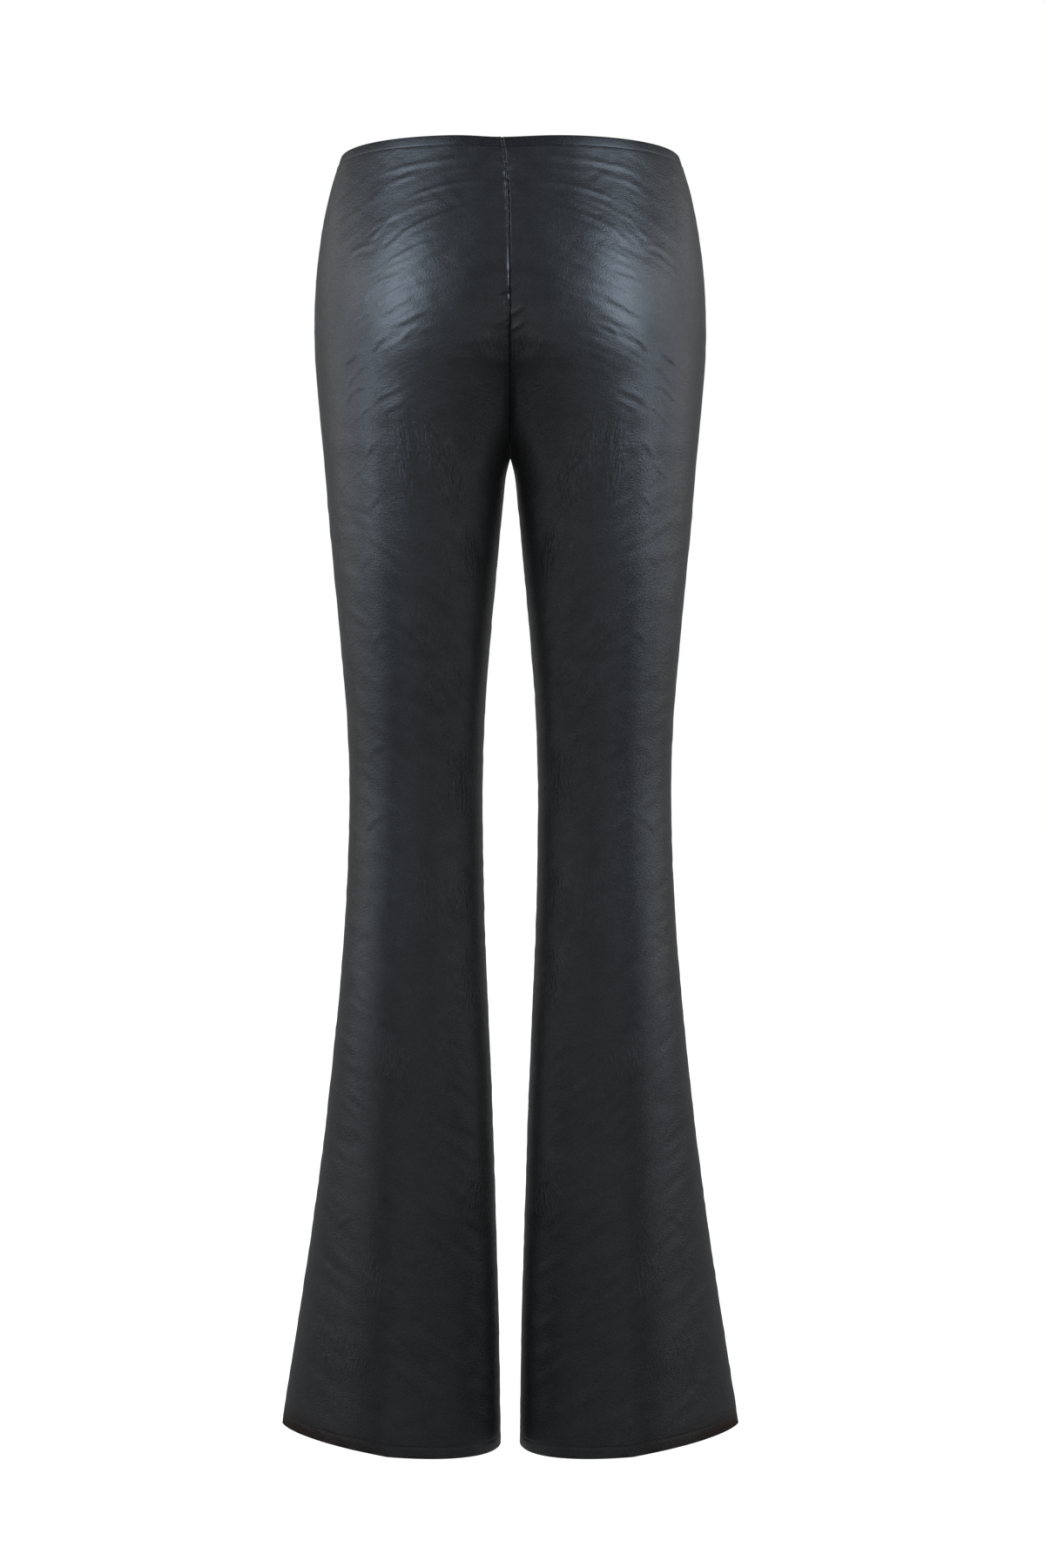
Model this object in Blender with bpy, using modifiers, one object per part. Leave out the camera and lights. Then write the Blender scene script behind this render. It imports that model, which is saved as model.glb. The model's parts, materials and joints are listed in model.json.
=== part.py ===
"""Faux leather trousers: pull-on, flared from the knee, gathered along the centre back seam.

The trousers keep the hollow form that they have when worn, with nobody inside. -Y is the
garment's back, +Y its front and -X the wearer's left. The origin is the middle of the
waist opening, level with the waist edge at the side seams. Sizes are in millimetres and
heights are measured up from the origin, so the hems are near -1040. The mesh is in metres.

Each leg and its half of the seat are lofted through level sections. A section is a loop
round a point that lies inside the leg. Above the fork the loop reaches past the middle
plane and is cut there, which gives the crotch curve and the cleft of the seat.
"""

import math

import bpy
import numpy as np

MM = 0.001

# Cloth and seams
WALL = 1.2
BAND_WALL = 2.2
SEAM_GAP = 0.3
SEAM_PINCH = 0.5
PINCH_WIDTH = 2.5

# Lengths down the garment
BAND_DEPTH = 8.5
FORK = -241.0
HEM = -1040.0
HEM_TURN_UP = 8.5

# Level sections: half width to the outer and to the inner side of a leg's loop (negative
# where it passes the middle plane), depth behind and in front of the middle of the leg,
# how far that middle lies forward, and the superellipse powers of the loop's inner half and
# of its outer half at the side seam (2 is an ellipse, less is more pointed).
SECTION_COLUMNS = ("height", "outer", "inner", "back", "front", "middle", "power", "edge")
SECTIONS = (
    (10, 136.2, -126.0, 93, 88, 0, 2.7, 2.7),
    (0, 138.8, -126.0, 95, 90, 0, 2.7, 2.7),
    (-23, 145.9, -115.0, 100, 94, 0, 2.6, 2.6),
    (-52, 152.4, -94.0, 108, 98, 0, 2.45, 2.45),
    (-80, 156.5, -77.0, 116, 100, 0, 2.35, 2.35),
    (-109, 159.0, -65.0, 122, 101, 0, 2.3, 2.3),
    (-138, 160.0, -53.0, 124, 100, 0, 2.25, 2.25),
    (-166, 159.3, -37.5, 121, 97, 0, 2.2, 2.2),
    (-190, 157.6, -23.5, 115, 93, 0, 2.15, 2.15),
    (-215, 155.4, -10.5, 109, 90, 0, 2.15, 2.15),
    (-231, 153.9, -3.9, 105, 87, 0, 2.15, 2.15),
    (-241, 152.9, 0.0, 103, 86, 0, 2.15, 2.15),
    (-252, 152.0, 3.0, 101, 85, 0, 2.1, 2.1),
    (-281, 149.6, 6.4, 96, 82, 0, 2.1, 2.1),
    (-338, 144.2, 11.8, 89, 76, 1, 2.1, 2.1),
    (-395, 139.0, 16.8, 81, 71, 2, 2.1, 2.1),
    (-452, 134.3, 21.0, 74, 67, 3, 2.1, 2.1),
    (-509, 132.2, 22.9, 69, 64, 4, 2.1, 2.1),
    (-566, 133.1, 22.0, 68, 64, 3, 2.1, 2.1),
    (-624, 135.9, 20.7, 69, 66, 1, 2.1, 2.05),
    (-681, 140.3, 18.4, 71, 68, -1, 2.1, 2.0),
    (-738, 145.9, 16.0, 73, 71, -2, 2.1, 1.92),
    (-795, 152.1, 13.8, 75, 74, -2, 2.1, 1.84),
    (-852, 159.5, 12.1, 78, 77, -2, 2.1, 1.76),
    (-909, 168.0, 10.4, 81, 80, -1, 2.1, 1.68),
    (-966, 177.1, 8.9, 84, 83, 0, 2.1, 1.6),
    (-1023, 186.0, 7.8, 87, 86, 0, 2.1, 1.52),
    (-1060, 191.5, 7.4, 89, 88, 0, 2.1, 1.5),
)
FRONT_FLATNESS = 0.5  # power added to the split, so that the front's cleft is shallower
FRONT_FLATNESS_FADE = 60.0

# How the waist edge and the hem depart from level
BACK_WAIST_RISE = 3.2
FRONT_WAIST_DROP = 8.0
WAIST_FADE = 70.0
HEM_SLANT = 8.2
HEM_MIDDLE_DROP = 0.5
HEM_FADE = 420.0

# The small of the back, and the lean of the gathered seam towards the wearer's left
LUMBAR_HOLLOW = 4.5
LUMBAR_WIDTH = 28.0
LUMBAR_FADE = 90.0
SEAM_LEAN = 5.8
SEAM_LEAN_FADE = 32.0
SEAM_LEAN_WIDTH = 60.0

# Gathers along the centre back seam: height of the crest at the seam, how far it reaches
# over the panel, how far it stands out, and how far it drops for each millimetre outwards.
GATHER_COLUMNS = ("height", "reach", "rise", "drop")
GATHERS_LEFT = (
    (-20.9, 24, 1.1, 0.10),
    (-29.1, 18, 0.9, 0.10),
    (-36.6, 22, 1.2, 0.20),
    (-43.4, 26, 1.3, 0.30),
    (-51.6, 16, 0.9, 0.20),
    (-57.3, 14, 0.7, 0.20),
    (-63.8, 20, 1.0, 0.30),
    (-71.4, 14, 0.6, 0.20),
    (-78.6, 12, 0.5, 0.20),
    (-88.8, 10, 0.4, 0.10),
    (-97.5, 10, 0.4, 0.10),
    (-106.0, 14, 0.6, 0.20),
    (-115.0, 12, 0.5, 0.20),
    (-123.4, 22, 1.3, 0.30),
    (-129.4, 18, 1.0, 0.30),
    (-137.4, 20, 1.2, 0.40),
    (-147.0, 26, 1.7, 0.45),
    (-154.8, 14, 0.8, 0.40),
    (-162.2, 18, 1.1, 0.50),
    (-174.3, 18, 0.9, 0.50),
    (-185.0, 14, 0.6, 0.50),
)
GATHERS_RIGHT = (
    (-17.5, 26, 1.0, -0.20),
    (-24.3, 18, 1.2, 0.10),
    (-30.9, 20, 1.1, 0.10),
    (-38.6, 18, 1.2, -0.10),
    (-46.8, 16, 0.8, 0.10),
    (-53.2, 20, 1.0, 0.20),
    (-58.8, 16, 0.8, 0.20),
    (-64.6, 22, 1.0, 0.30),
    (-71.6, 14, 0.6, 0.20),
    (-80.2, 12, 0.5, 0.10),
    (-93.2, 10, 0.4, 0.10),
    (-103.0, 10, 0.4, 0.10),
    (-111.0, 12, 0.5, 0.10),
    (-119.8, 14, 0.7, -0.10),
    (-131.0, 16, 0.9, -0.20),
    (-140.9, 26, 1.7, -0.50),
    (-153.7, 22, 1.4, -0.50),
    (-161.5, 14, 0.8, -0.30),
    (-168.6, 16, 0.9, -0.30),
    (-178.4, 16, 0.7, -0.20),
)
GATHER_SHARPNESS = 0.34  # half width of a crest as a share of the space to the next one

# The largest folds of one half, mirrored on the other: the distance from the middle plane
# and the height where a fold starts and ends, its bow, half width and rise (a trough is
# negative), and whether it lies on the back or the front panel.
FOLD_COLUMNS = ("panel", "x1", "z1", "x2", "z2", "bow", "width", "rise")
FOLDS = (
    ("back", 14, -17, 82, -27, -3, 6, 1.3),
    ("back", 8, -36, 92, -60, 3, 7, 1.5),
    ("back", 18, -56, 90, -82, 3, 7, 1.3),
    ("back", 16, -84, 84, -116, 4, 8, 0.9),
    ("back", 70, -112, 106, -124, -2, 7, 1.2),
    ("back", 94, -190, 128, -184, -4, 7, 1.0),
    ("back", 12, -176, 30, -232, -4, 6, -1.2),
    ("back", 26, -170, 44, -224, -4, 7, 1.0),
    ("front", 6, -176, 52, -128, 5, 8, -1.4),
    ("front", 8, -196, 74, -160, 6, 8, 1.4),
    ("front", 10, -222, 92, -196, 6, 9, -1.4),
    ("front", 30, -212, 104, -186, 5, 8, 1.2),
    ("front", 70, -60, 124, -84, 4, 9, 1.0),
)

# Columns of vertices, as distances from the inner edge of a panel
GATHER_STRIP = (0.0, 4.0, 9.0, 16.0, 26.0)
STRIP_WIDENS_BELOW = FORK + 45
STRIP_NARROWS_ABOVE = FORK - 60
EDGE_STRIP = 4.0
BACK_BROAD_COLUMNS = 8
FRONT_BROAD_COLUMNS = 9

# Rows of vertices
GATHER_ROWS_PER_BROAD_ROW = 3
BELOW_LAST_GATHER = 8.0
SPARE_ROW = 3.0
FORK_ROWS = (-196, -207, -216, -224, -230.5, -235.5, -239, -240.6, FORK,
             -242.5, -246, -252, -261, -273, -289)
LEG_ROWS = 28
LOOP_SAMPLES = 121

LEATHER_COLOUR = (0.013, 0.014, 0.016, 1.0)
BAND_COLOUR = (0.016, 0.017, 0.019, 1.0)
LEATHER_ROUGHNESS = 0.38

TABLE = {name: np.array(values, float)[::-1] for name, values in zip(SECTION_COLUMNS, zip(*SECTIONS))}
SLOPES = {name: np.gradient(values, TABLE["height"]) for name, values in TABLE.items()}


def section_size(name, height):
    """A column of the section table at any height, on a smooth curve through its rows."""
    knots = TABLE["height"]
    height = np.clip(height, knots[0], knots[-1])
    upper = np.clip(np.searchsorted(knots, height), 1, len(knots) - 1)
    lower = upper - 1
    span = knots[upper] - knots[lower]
    t = (height - knots[lower]) / span
    start, end = TABLE[name][lower], TABLE[name][upper]
    start_slope, end_slope = SLOPES[name][lower] * span, SLOPES[name][upper] * span
    return (start * (1 + 2 * t) * (1 - t) ** 2 + start_slope * t * (1 - t) ** 2
            + end * t * t * (3 - 2 * t) + end_slope * t * t * (t - 1))


def ease(value):
    """0 below 0, 1 above 1, and a smooth step between."""
    value = np.clip(value, 0, 1)
    return value * value * (3 - 2 * value)


def split(panel, height):
    """The loop centre's distance from the middle plane, as a share of the loop's half width."""
    outer, inner = section_size("outer", height), section_size("inner", height)
    ratio = (outer + inner) / (outer - inner)
    if panel == "front":
        ratio = ratio ** (1 + FRONT_FLATNESS * ease((height - FORK) / FRONT_FLATNESS_FADE))
    return ratio


def inner_angle(panel, height):
    """The angle round the loop, from the side seam, at which the panel's inner edge lies."""
    ratio = np.minimum(split(panel, height), 1)
    return math.pi / 2 + np.arcsin(ratio ** (section_size("power", height) / 2))


def loop_point(panel, height, angle):
    """Distance from the middle plane and place front to back of a point on the loop."""
    ratio = split(panel, height)
    half_width = section_size("outer", height) / (1 + ratio)
    cosine, sine = np.cos(angle), np.abs(np.sin(angle))
    power = 2 / np.where(cosine > 0, section_size("edge", height), section_size("power", height))
    across = half_width * (ratio + np.sign(cosine) * np.abs(cosine) ** power)
    depth = section_size(panel, height) * sine ** power
    forward = depth if panel == "front" else -depth
    return across, section_size("middle", height) + forward


def loops(panel, heights):
    """Angles round each section from its inner edge, and the distance walked to each."""
    share = np.linspace(1, 0, LOOP_SAMPLES)
    angles = inner_angle(panel, heights)[:, None] * share
    across, forward = loop_point(panel, heights[:, None], angles)
    steps = np.hypot(np.diff(across, axis=1), np.diff(forward, axis=1))
    return angles, np.concatenate([np.zeros((len(heights), 1)), np.cumsum(steps, axis=1)], axis=1)


def girth(panel, heights):
    """Width of the panel along the section at each height, inner edge to side seam."""
    return loops(panel, heights)[1][:, -1]


def bare_surface(panel, heights, reach):
    """Points of the outer form without folds. Row i has reach[i], walked from the inner edge."""
    angles, walked = loops(panel, heights)
    turn = np.array([np.interp(row, walk, angle) for row, walk, angle in zip(reach, walked, angles)])
    sine, cosine = np.sin(turn), np.cos(turn)
    level = heights[:, None]
    rise = BACK_WAIST_RISE * sine ** 2 if panel == "back" else -FRONT_WAIST_DROP * sine ** 2
    slant = HEM_SLANT * cosine - HEM_MIDDLE_DROP * sine
    height = level + rise * ease(1 + level / WAIST_FADE) + slant * ease((HEM + HEM_FADE - level) / HEM_FADE)
    turn = turn / inner_angle(panel, level) * inner_angle(panel, height)
    across, forward = loop_point(panel, height, turn)
    return np.stack([across, forward, height], axis=-1)


def gather_relief(gathers, height, reach):
    """How far the gathers lift the cloth beside the centre back seam."""
    table = dict(zip(GATHER_COLUMNS, np.array(gathers).T))
    spaces = np.gradient(-table["height"])
    lift = np.zeros_like(height + reach)
    for crest, length, rise, drop, space in zip(*(table[name] for name in GATHER_COLUMNS), spaces):
        across = height - crest + sag(drop, reach)
        ridge = np.exp(-(across / (space * GATHER_SHARPNESS)) ** 2)
        lift += rise * ridge * np.clip(1 - reach / length, 0, 1) ** 1.5
    return lift


def sag(drop, reach):
    """How far a gather or a row of vertices beside it has dropped at this reach."""
    strip = GATHER_STRIP[-1]
    return drop * np.where(reach < strip, reach * (1 - reach / strip), 0)


def fold_relief(panel, across, height):
    """How far the large soft folds lift the cloth."""
    lift = np.zeros_like(across)
    for row in FOLDS:
        fold = dict(zip(FOLD_COLUMNS, row))
        if fold["panel"] != panel:
            continue
        run, climb = fold["x2"] - fold["x1"], fold["z2"] - fold["z1"]
        length = math.hypot(run, climb)
        along = ((across - fold["x1"]) * run + (height - fold["z1"]) * climb) / length ** 2
        aside = ((height - fold["z1"]) * run - (across - fold["x1"]) * climb) / length
        inside = np.clip(along, 0, 1)
        aside = aside - fold["bow"] * 4 * inside * (1 - inside)
        fade = np.sin(math.pi * inside) ** 0.8
        lift += fold["rise"] * np.exp(-(aside / fold["width"]) ** 2) * fade
    return lift


def relief(panel, side, heights, reach, points):
    """Everything that lifts or sinks the cloth from its bare form, in millimetres outwards."""
    level = heights[:, None]
    to_side_seam = girth(panel, heights)[:, None] - reach
    lift = fold_relief(panel, points[..., 0], points[..., 2])
    lift -= SEAM_PINCH * np.exp(-(reach / PINCH_WIDTH) ** 2)
    lift -= SEAM_PINCH * np.exp(-(to_side_seam / PINCH_WIDTH) ** 2)
    if panel == "back":
        hollow = np.exp(-(reach / LUMBAR_WIDTH) ** 2) * ease(1 + level / LUMBAR_FADE)
        gathers = GATHERS_LEFT if side < 0 else GATHERS_RIGHT
        lift += gather_relief(gathers, level, reach) - LUMBAR_HOLLOW * hollow
    return lift


def outward(panel, heights, reach):
    """Unit normals of the bare form, from short steps along and across the cloth."""
    step = 0.5
    width = girth(panel, heights)[:, None]
    along = (bare_surface(panel, heights, np.minimum(reach + step, width))
             - bare_surface(panel, heights, np.maximum(reach - step, 0)))
    down = bare_surface(panel, heights - step, reach) - bare_surface(panel, heights + step, reach)
    normal = np.cross(down, along)
    normal /= np.linalg.norm(normal, axis=-1, keepdims=True)
    return normal if panel == "back" else -normal


def cloth(panel, side, heights, reach, inset=0.0):
    """Points of the finished outer face, or of a face that lies inset millimetres inside it."""
    points = bare_surface(panel, heights, reach)
    lift = relief(panel, side, heights, reach, points) - inset
    points = points + outward(panel, heights, reach) * lift[..., None]
    half_gap = SEAM_GAP / 2
    points[..., 0] = np.maximum(points[..., 0], half_gap)
    middle = section_size("middle", points[..., 2])
    behind = panel == "back"
    at_seam = (reach <= 0) & (heights[:, None] <= FORK) | (reach >= girth(panel, heights)[:, None] - 1e-6)
    points[..., 1] = np.where(at_seam, middle + (-half_gap if behind else half_gap), points[..., 1])
    on_middle_plane = (reach <= 0) & (heights[:, None] > FORK)
    points[..., 0] = np.where(on_middle_plane, half_gap, points[..., 0])
    lean = SEAM_LEAN * np.exp(points[..., 2] / SEAM_LEAN_FADE) * ease(1 - points[..., 0] / SEAM_LEAN_WIDTH)
    points[..., 0] = side * points[..., 0] - lean
    return points


def strip_width(panel, heights):
    """Width of the strip of close columns. It widens at the fork, where the inner edge turns
    under, so that the broad columns beside it run straight on down the leg."""
    knots = np.array([STRIP_WIDENS_BELOW, STRIP_NARROWS_ABOVE])
    above, below = girth(panel, knots) - GATHER_STRIP[-1]
    share = ease((heights - knots[0]) / (knots[1] - knots[0]))
    at_fork = (heights < knots[0]) & (heights > knots[1])
    return np.where(at_fork, girth(panel, heights) - above - share * (below - above), GATHER_STRIP[-1])


def column_reach(panel, heights, column):
    """Distance of a column of vertices from the panel's inner edge, at each height."""
    last_strip = len(GATHER_STRIP) - 1
    strip = strip_width(panel, heights)
    if column <= last_strip:
        return strip * GATHER_STRIP[column] / GATHER_STRIP[-1]
    broad = BACK_BROAD_COLUMNS if panel == "back" else FRONT_BROAD_COLUMNS
    width = girth(panel, heights)
    if column > last_strip + broad:
        return width
    share = (column - last_strip) / broad
    return strip + share * (width - EDGE_STRIP - strip)


def last_column(panel):
    """Number of the column of vertices that lies on the side seam."""
    broad = BACK_BROAD_COLUMNS if panel == "back" else FRONT_BROAD_COLUMNS
    return len(GATHER_STRIP) + broad


def leg_rows():
    """Heights of the rows from below the fork to the hem, with one on the hem's stitch line."""
    top = FORK_ROWS[-1]
    stitch_line = HEM + HEM_TURN_UP
    return list(np.linspace(top, stitch_line, LEG_ROWS + 1)[1:]) + [HEM]


def row_heights(side):
    """Heights of the rows of vertices, with one on each gather's crest and each trough."""
    gathers = GATHERS_LEFT if side < 0 else GATHERS_RIGHT
    rows = [-BAND_DEPTH - SEAM_GAP]
    drops = [0.0]
    crests = [(row[0], row[3]) for row in gathers]
    below = [(crests[-1][0] - BELOW_LAST_GATHER, 0.0)]
    for (crest, drop), (following, _) in zip(crests, crests[1:] + below):
        rows += [crest, (crest + following) / 2]
        drops += [drop, drop]
    while (len(rows) - 1) % GATHER_ROWS_PER_BROAD_ROW:
        rows.append(rows[-1] - SPARE_ROW)
        drops.append(0.0)
    return rows, drops


def panel_cells(panel, gather_rows, rows):
    """Cells of the panel as top row, bottom row, inner column and outer column."""
    strip = len(GATHER_STRIP) - 1
    side_seam = last_column(panel)
    broad = [(left, left + 1) for left in range(strip, side_seam)]
    cells = []
    for top in range(0, gather_rows, GATHER_ROWS_PER_BROAD_ROW):
        bottom = top + GATHER_ROWS_PER_BROAD_ROW
        if panel == "back":
            cells += [(row, row + 1, left, left + 1) for row in range(top, bottom) for left in range(strip)]
            cells += [(top, bottom, left, right) for left, right in broad]
        else:
            cells += [(top, bottom, left, right) for left, right in [(0, 1), (1, strip)] + broad]
    for top in range(gather_rows, rows - 1):
        cells += [(top, top + 1, left, right) for left, right in [(0, 1), (1, strip)] + broad]
    return cells


def cell_outline(cell, used):
    """The used vertices round a cell, so that small cells meet large ones without a slit."""
    top, bottom, left, right = cell
    path = [(top, column) for column in range(left, right)]
    path += [(row, right) for row in range(top, bottom)]
    path += [(bottom, column) for column in range(right, left, -1)]
    path += [(row, left) for row in range(bottom, top, -1)]
    return [place for place in path if place in used]


def shell(name, points, faces, wall, material, collection):
    """An open surface as an object, thickened inwards to a wall."""
    mesh = bpy.data.meshes.new(name)
    mesh.from_pydata([tuple(point * MM) for point in points], [], faces)
    mesh.validate()
    mesh.shade_smooth()
    mesh.materials.append(material)
    body = bpy.data.objects.new(name, mesh)
    collection.objects.link(body)
    thicken = body.modifiers.new("wall", "SOLIDIFY")
    thicken.thickness = wall * MM
    thicken.offset = -1
    return body


def facing(faces, flip):
    """The faces, turned over where they would face into the garment."""
    return [face[::-1] for face in faces] if flip else faces


def make_panel(name, panel, side, material, collection):
    """A back or front panel, from the waist band's seam to the hem."""
    gather_rows, drops = row_heights(side)
    heights = np.array(gather_rows + list(FORK_ROWS) + leg_rows())
    drops = np.array(drops + [0.0] * (len(heights) - len(drops)))
    cells = panel_cells(panel, len(gather_rows) - 1, len(heights))
    used = sorted({place for top, bottom, left, right in cells
                   for place in ((top, left), (top, right), (bottom, left), (bottom, right))})
    number = {place: index for index, place in enumerate(used)}
    rows = np.array([row for row, column in used])
    reach = np.array([column_reach(panel, heights[row:row + 1], column)[0] for row, column in used])
    slanted = heights[rows] - (sag(drops[rows], reach) if panel == "back" else 0)
    points = cloth(panel, side, slanted, reach[:, None])[:, 0]
    faces = [[number[place] for place in cell_outline(cell, number)] for cell in cells]
    flip = (panel == "back") == (side > 0)
    return shell(name, points, facing(faces, flip), WALL, material, collection)


def round_the_leg(side, height, inset, columns):
    """A row of points from the inner edge of the back, round the side seam, to the front's."""
    level = np.array([height])
    row = []
    for panel in ("back", "front"):
        picked = columns + list(range(len(GATHER_STRIP) - 1, last_column(panel) + 1))
        reach = np.array([[column_reach(panel, level, column)[0] for column in picked]])
        points = list(cloth(panel, side, level, reach, inset)[0])
        row += points if panel == "back" else points[-2::-1]
    return row


def make_band(name, side, material, collection):
    """Half of the narrow waist band, from the centre back seam to the centre front seam."""
    levels = (0.0, -BAND_DEPTH / 2, -BAND_DEPTH)
    rows = [round_the_leg(side, level, 0.0, [0, 1]) for level in levels]
    width = len(rows[0])
    points = [point for row in rows for point in row]
    faces = [[row * width + i, row * width + i + 1, (row + 1) * width + i + 1, (row + 1) * width + i]
             for row in range(len(levels) - 1) for i in range(width - 1)]
    return shell(name, points, facing(faces, side > 0), BAND_WALL, material, collection)


def make_hem(name, side, material, collection):
    """The turned-up hem allowance: a ring just inside the leg's lower edge."""
    levels = (HEM + HEM_TURN_UP, HEM)
    inset = WALL + SEAM_GAP
    rows = [round_the_leg(side, level, inset, [0, 1])[:-1] for level in levels]
    width = len(rows[0])
    points = [point for row in rows for point in row]
    faces = [[i, (i + 1) % width, width + (i + 1) % width, width + i] for i in range(width)]
    return shell(name, points, facing(faces, side > 0), WALL, material, collection)


def make_material(name, colour, roughness):
    """A plain Principled material."""
    material = bpy.data.materials.new(name)
    material.use_nodes = True
    surface = material.node_tree.nodes["Principled BSDF"]
    surface.inputs["Base Color"].default_value = colour
    surface.inputs["Roughness"].default_value = roughness
    surface.inputs["Metallic"].default_value = 0.0
    return material


def main():
    """Clears the scene and makes the trousers' pieces."""
    for old in list(bpy.data.objects):
        bpy.data.objects.remove(old)
    collection = bpy.data.collections.new("faux_leather_trousers")
    bpy.context.scene.collection.children.link(collection)
    leather = make_material("faux_leather", LEATHER_COLOUR, LEATHER_ROUGHNESS)
    band_leather = make_material("faux_leather_band", BAND_COLOUR, LEATHER_ROUGHNESS)
    for word, side in (("left", -1), ("right", 1)):
        make_panel(f"back_{word}", "back", side, leather, collection)
        make_panel(f"front_{word}", "front", side, leather, collection)
        make_band(f"waist_band_{word}", side, band_leather, collection)
        make_hem(f"hem_{word}", side, leather, collection)


main()
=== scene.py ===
"""Looks for the faux leather trousers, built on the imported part.

-Y is the garment's back, +Y its front and -X the wearer's left. The form is worked out
as in the part's own source, in millimetres up from the waist opening, and every panel is
then made as fine cloth on that form, with the gathers, creases and seams of the real one.
"""

import json
import math

import bpy
import numpy as np
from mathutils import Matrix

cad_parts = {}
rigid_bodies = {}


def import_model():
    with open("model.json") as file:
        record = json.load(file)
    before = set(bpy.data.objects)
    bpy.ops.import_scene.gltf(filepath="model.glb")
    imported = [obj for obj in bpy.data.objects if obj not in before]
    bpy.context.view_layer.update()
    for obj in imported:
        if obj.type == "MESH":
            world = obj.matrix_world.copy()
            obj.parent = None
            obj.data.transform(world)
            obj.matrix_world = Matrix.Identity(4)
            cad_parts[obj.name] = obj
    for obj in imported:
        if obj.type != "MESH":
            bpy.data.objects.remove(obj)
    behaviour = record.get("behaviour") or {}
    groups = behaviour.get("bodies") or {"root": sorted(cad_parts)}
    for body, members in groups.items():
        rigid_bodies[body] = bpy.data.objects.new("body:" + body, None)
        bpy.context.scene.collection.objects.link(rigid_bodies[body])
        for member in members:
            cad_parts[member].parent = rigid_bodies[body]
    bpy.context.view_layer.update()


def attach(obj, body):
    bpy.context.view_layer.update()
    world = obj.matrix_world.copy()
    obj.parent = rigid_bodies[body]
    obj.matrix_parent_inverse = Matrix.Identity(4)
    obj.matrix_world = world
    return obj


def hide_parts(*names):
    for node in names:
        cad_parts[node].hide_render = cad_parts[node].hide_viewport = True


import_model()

MM = 0.001

# --- The form, as in the part's source -------------------------------------------------

SEAM_GAP = 0.3
BAND_DEPTH = 8.5
FORK = -241.0
HEM = -1040.0
HEM_TURN_UP = 8.5
LEG_FADE = 60  # height over which the seat's values pass into the legs'

# Level sections: half width to the outer and to the inner side of a leg's loop (negative
# where it passes the middle plane), depth behind and in front of the middle of the leg,
# how far that middle lies forward, and the superellipse powers of the loop's inner half and
# of its outer half at the side seam (2 is an ellipse, less is more pointed).
SECTION_COLUMNS = ("height", "outer", "inner", "back", "front", "middle", "power", "edge")
SECTIONS = (
    (10, 136.2, -126.0, 93, 88, 0, 2.7, 2.7),
    (0, 138.8, -126.0, 95, 90, 0, 2.7, 2.7),
    (-23, 145.9, -115.0, 100, 94, 0, 2.6, 2.6),
    (-52, 152.4, -94.0, 108, 98, 0, 2.45, 2.45),
    (-80, 156.5, -77.0, 116, 100, 0, 2.35, 2.35),
    (-109, 159.0, -65.0, 122, 101, 0, 2.3, 2.3),
    (-138, 160.0, -53.0, 124, 100, 0, 2.25, 2.25),
    (-166, 159.3, -37.5, 121, 97, 0, 2.2, 2.2),
    (-190, 157.6, -23.5, 115, 93, 0, 2.15, 2.15),
    (-215, 155.4, -10.5, 109, 90, 0, 2.15, 2.15),
    (-231, 153.9, -3.9, 105, 87, 0, 2.15, 2.15),
    (-241, 152.9, 0.0, 103, 86, 0, 2.15, 2.15),
    (-252, 152.0, 3.0, 101, 85, 0, 2.1, 2.1),
    (-281, 149.6, 6.4, 96, 82, 0, 2.1, 2.1),
    (-338, 144.2, 11.8, 89, 76, 1, 2.1, 2.1),
    (-395, 139.0, 16.8, 81, 71, 2, 2.1, 2.1),
    (-452, 134.3, 21.0, 74, 67, 3, 2.1, 2.1),
    (-509, 132.2, 22.9, 69, 64, 4, 2.1, 2.1),
    (-566, 133.1, 22.0, 68, 64, 3, 2.1, 2.1),
    (-624, 135.9, 20.7, 69, 66, 1, 2.1, 2.05),
    (-681, 140.3, 18.4, 71, 68, -1, 2.1, 2.0),
    (-738, 145.9, 16.0, 73, 71, -2, 2.1, 1.92),
    (-795, 152.1, 13.8, 75, 74, -2, 2.1, 1.84),
    (-852, 159.5, 12.1, 78, 77, -2, 2.1, 1.76),
    (-909, 168.0, 10.4, 81, 80, -1, 2.1, 1.68),
    (-966, 177.1, 8.9, 84, 83, 0, 2.1, 1.6),
    (-1023, 186.0, 7.8, 87, 86, 0, 2.1, 1.52),
    (-1060, 191.5, 7.4, 89, 88, 0, 2.1, 1.5),
)
FRONT_FLATNESS = 0.5
FRONT_FLATNESS_FADE = 60.0
BACK_WAIST_RISE = 3.2
FRONT_WAIST_DROP = 8.0
WAIST_FADE = 70.0
HEM_SLANT = 8.2
HEM_MIDDLE_DROP = 0.5
HEM_FADE = 420.0
LUMBAR_HOLLOW = 4.5
LUMBAR_WIDTH = 28.0
LUMBAR_FADE = 90.0
SEAM_LEAN = 5.8
SEAM_LEAN_FADE = 32.0
SEAM_LEAN_WIDTH = 60.0

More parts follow.
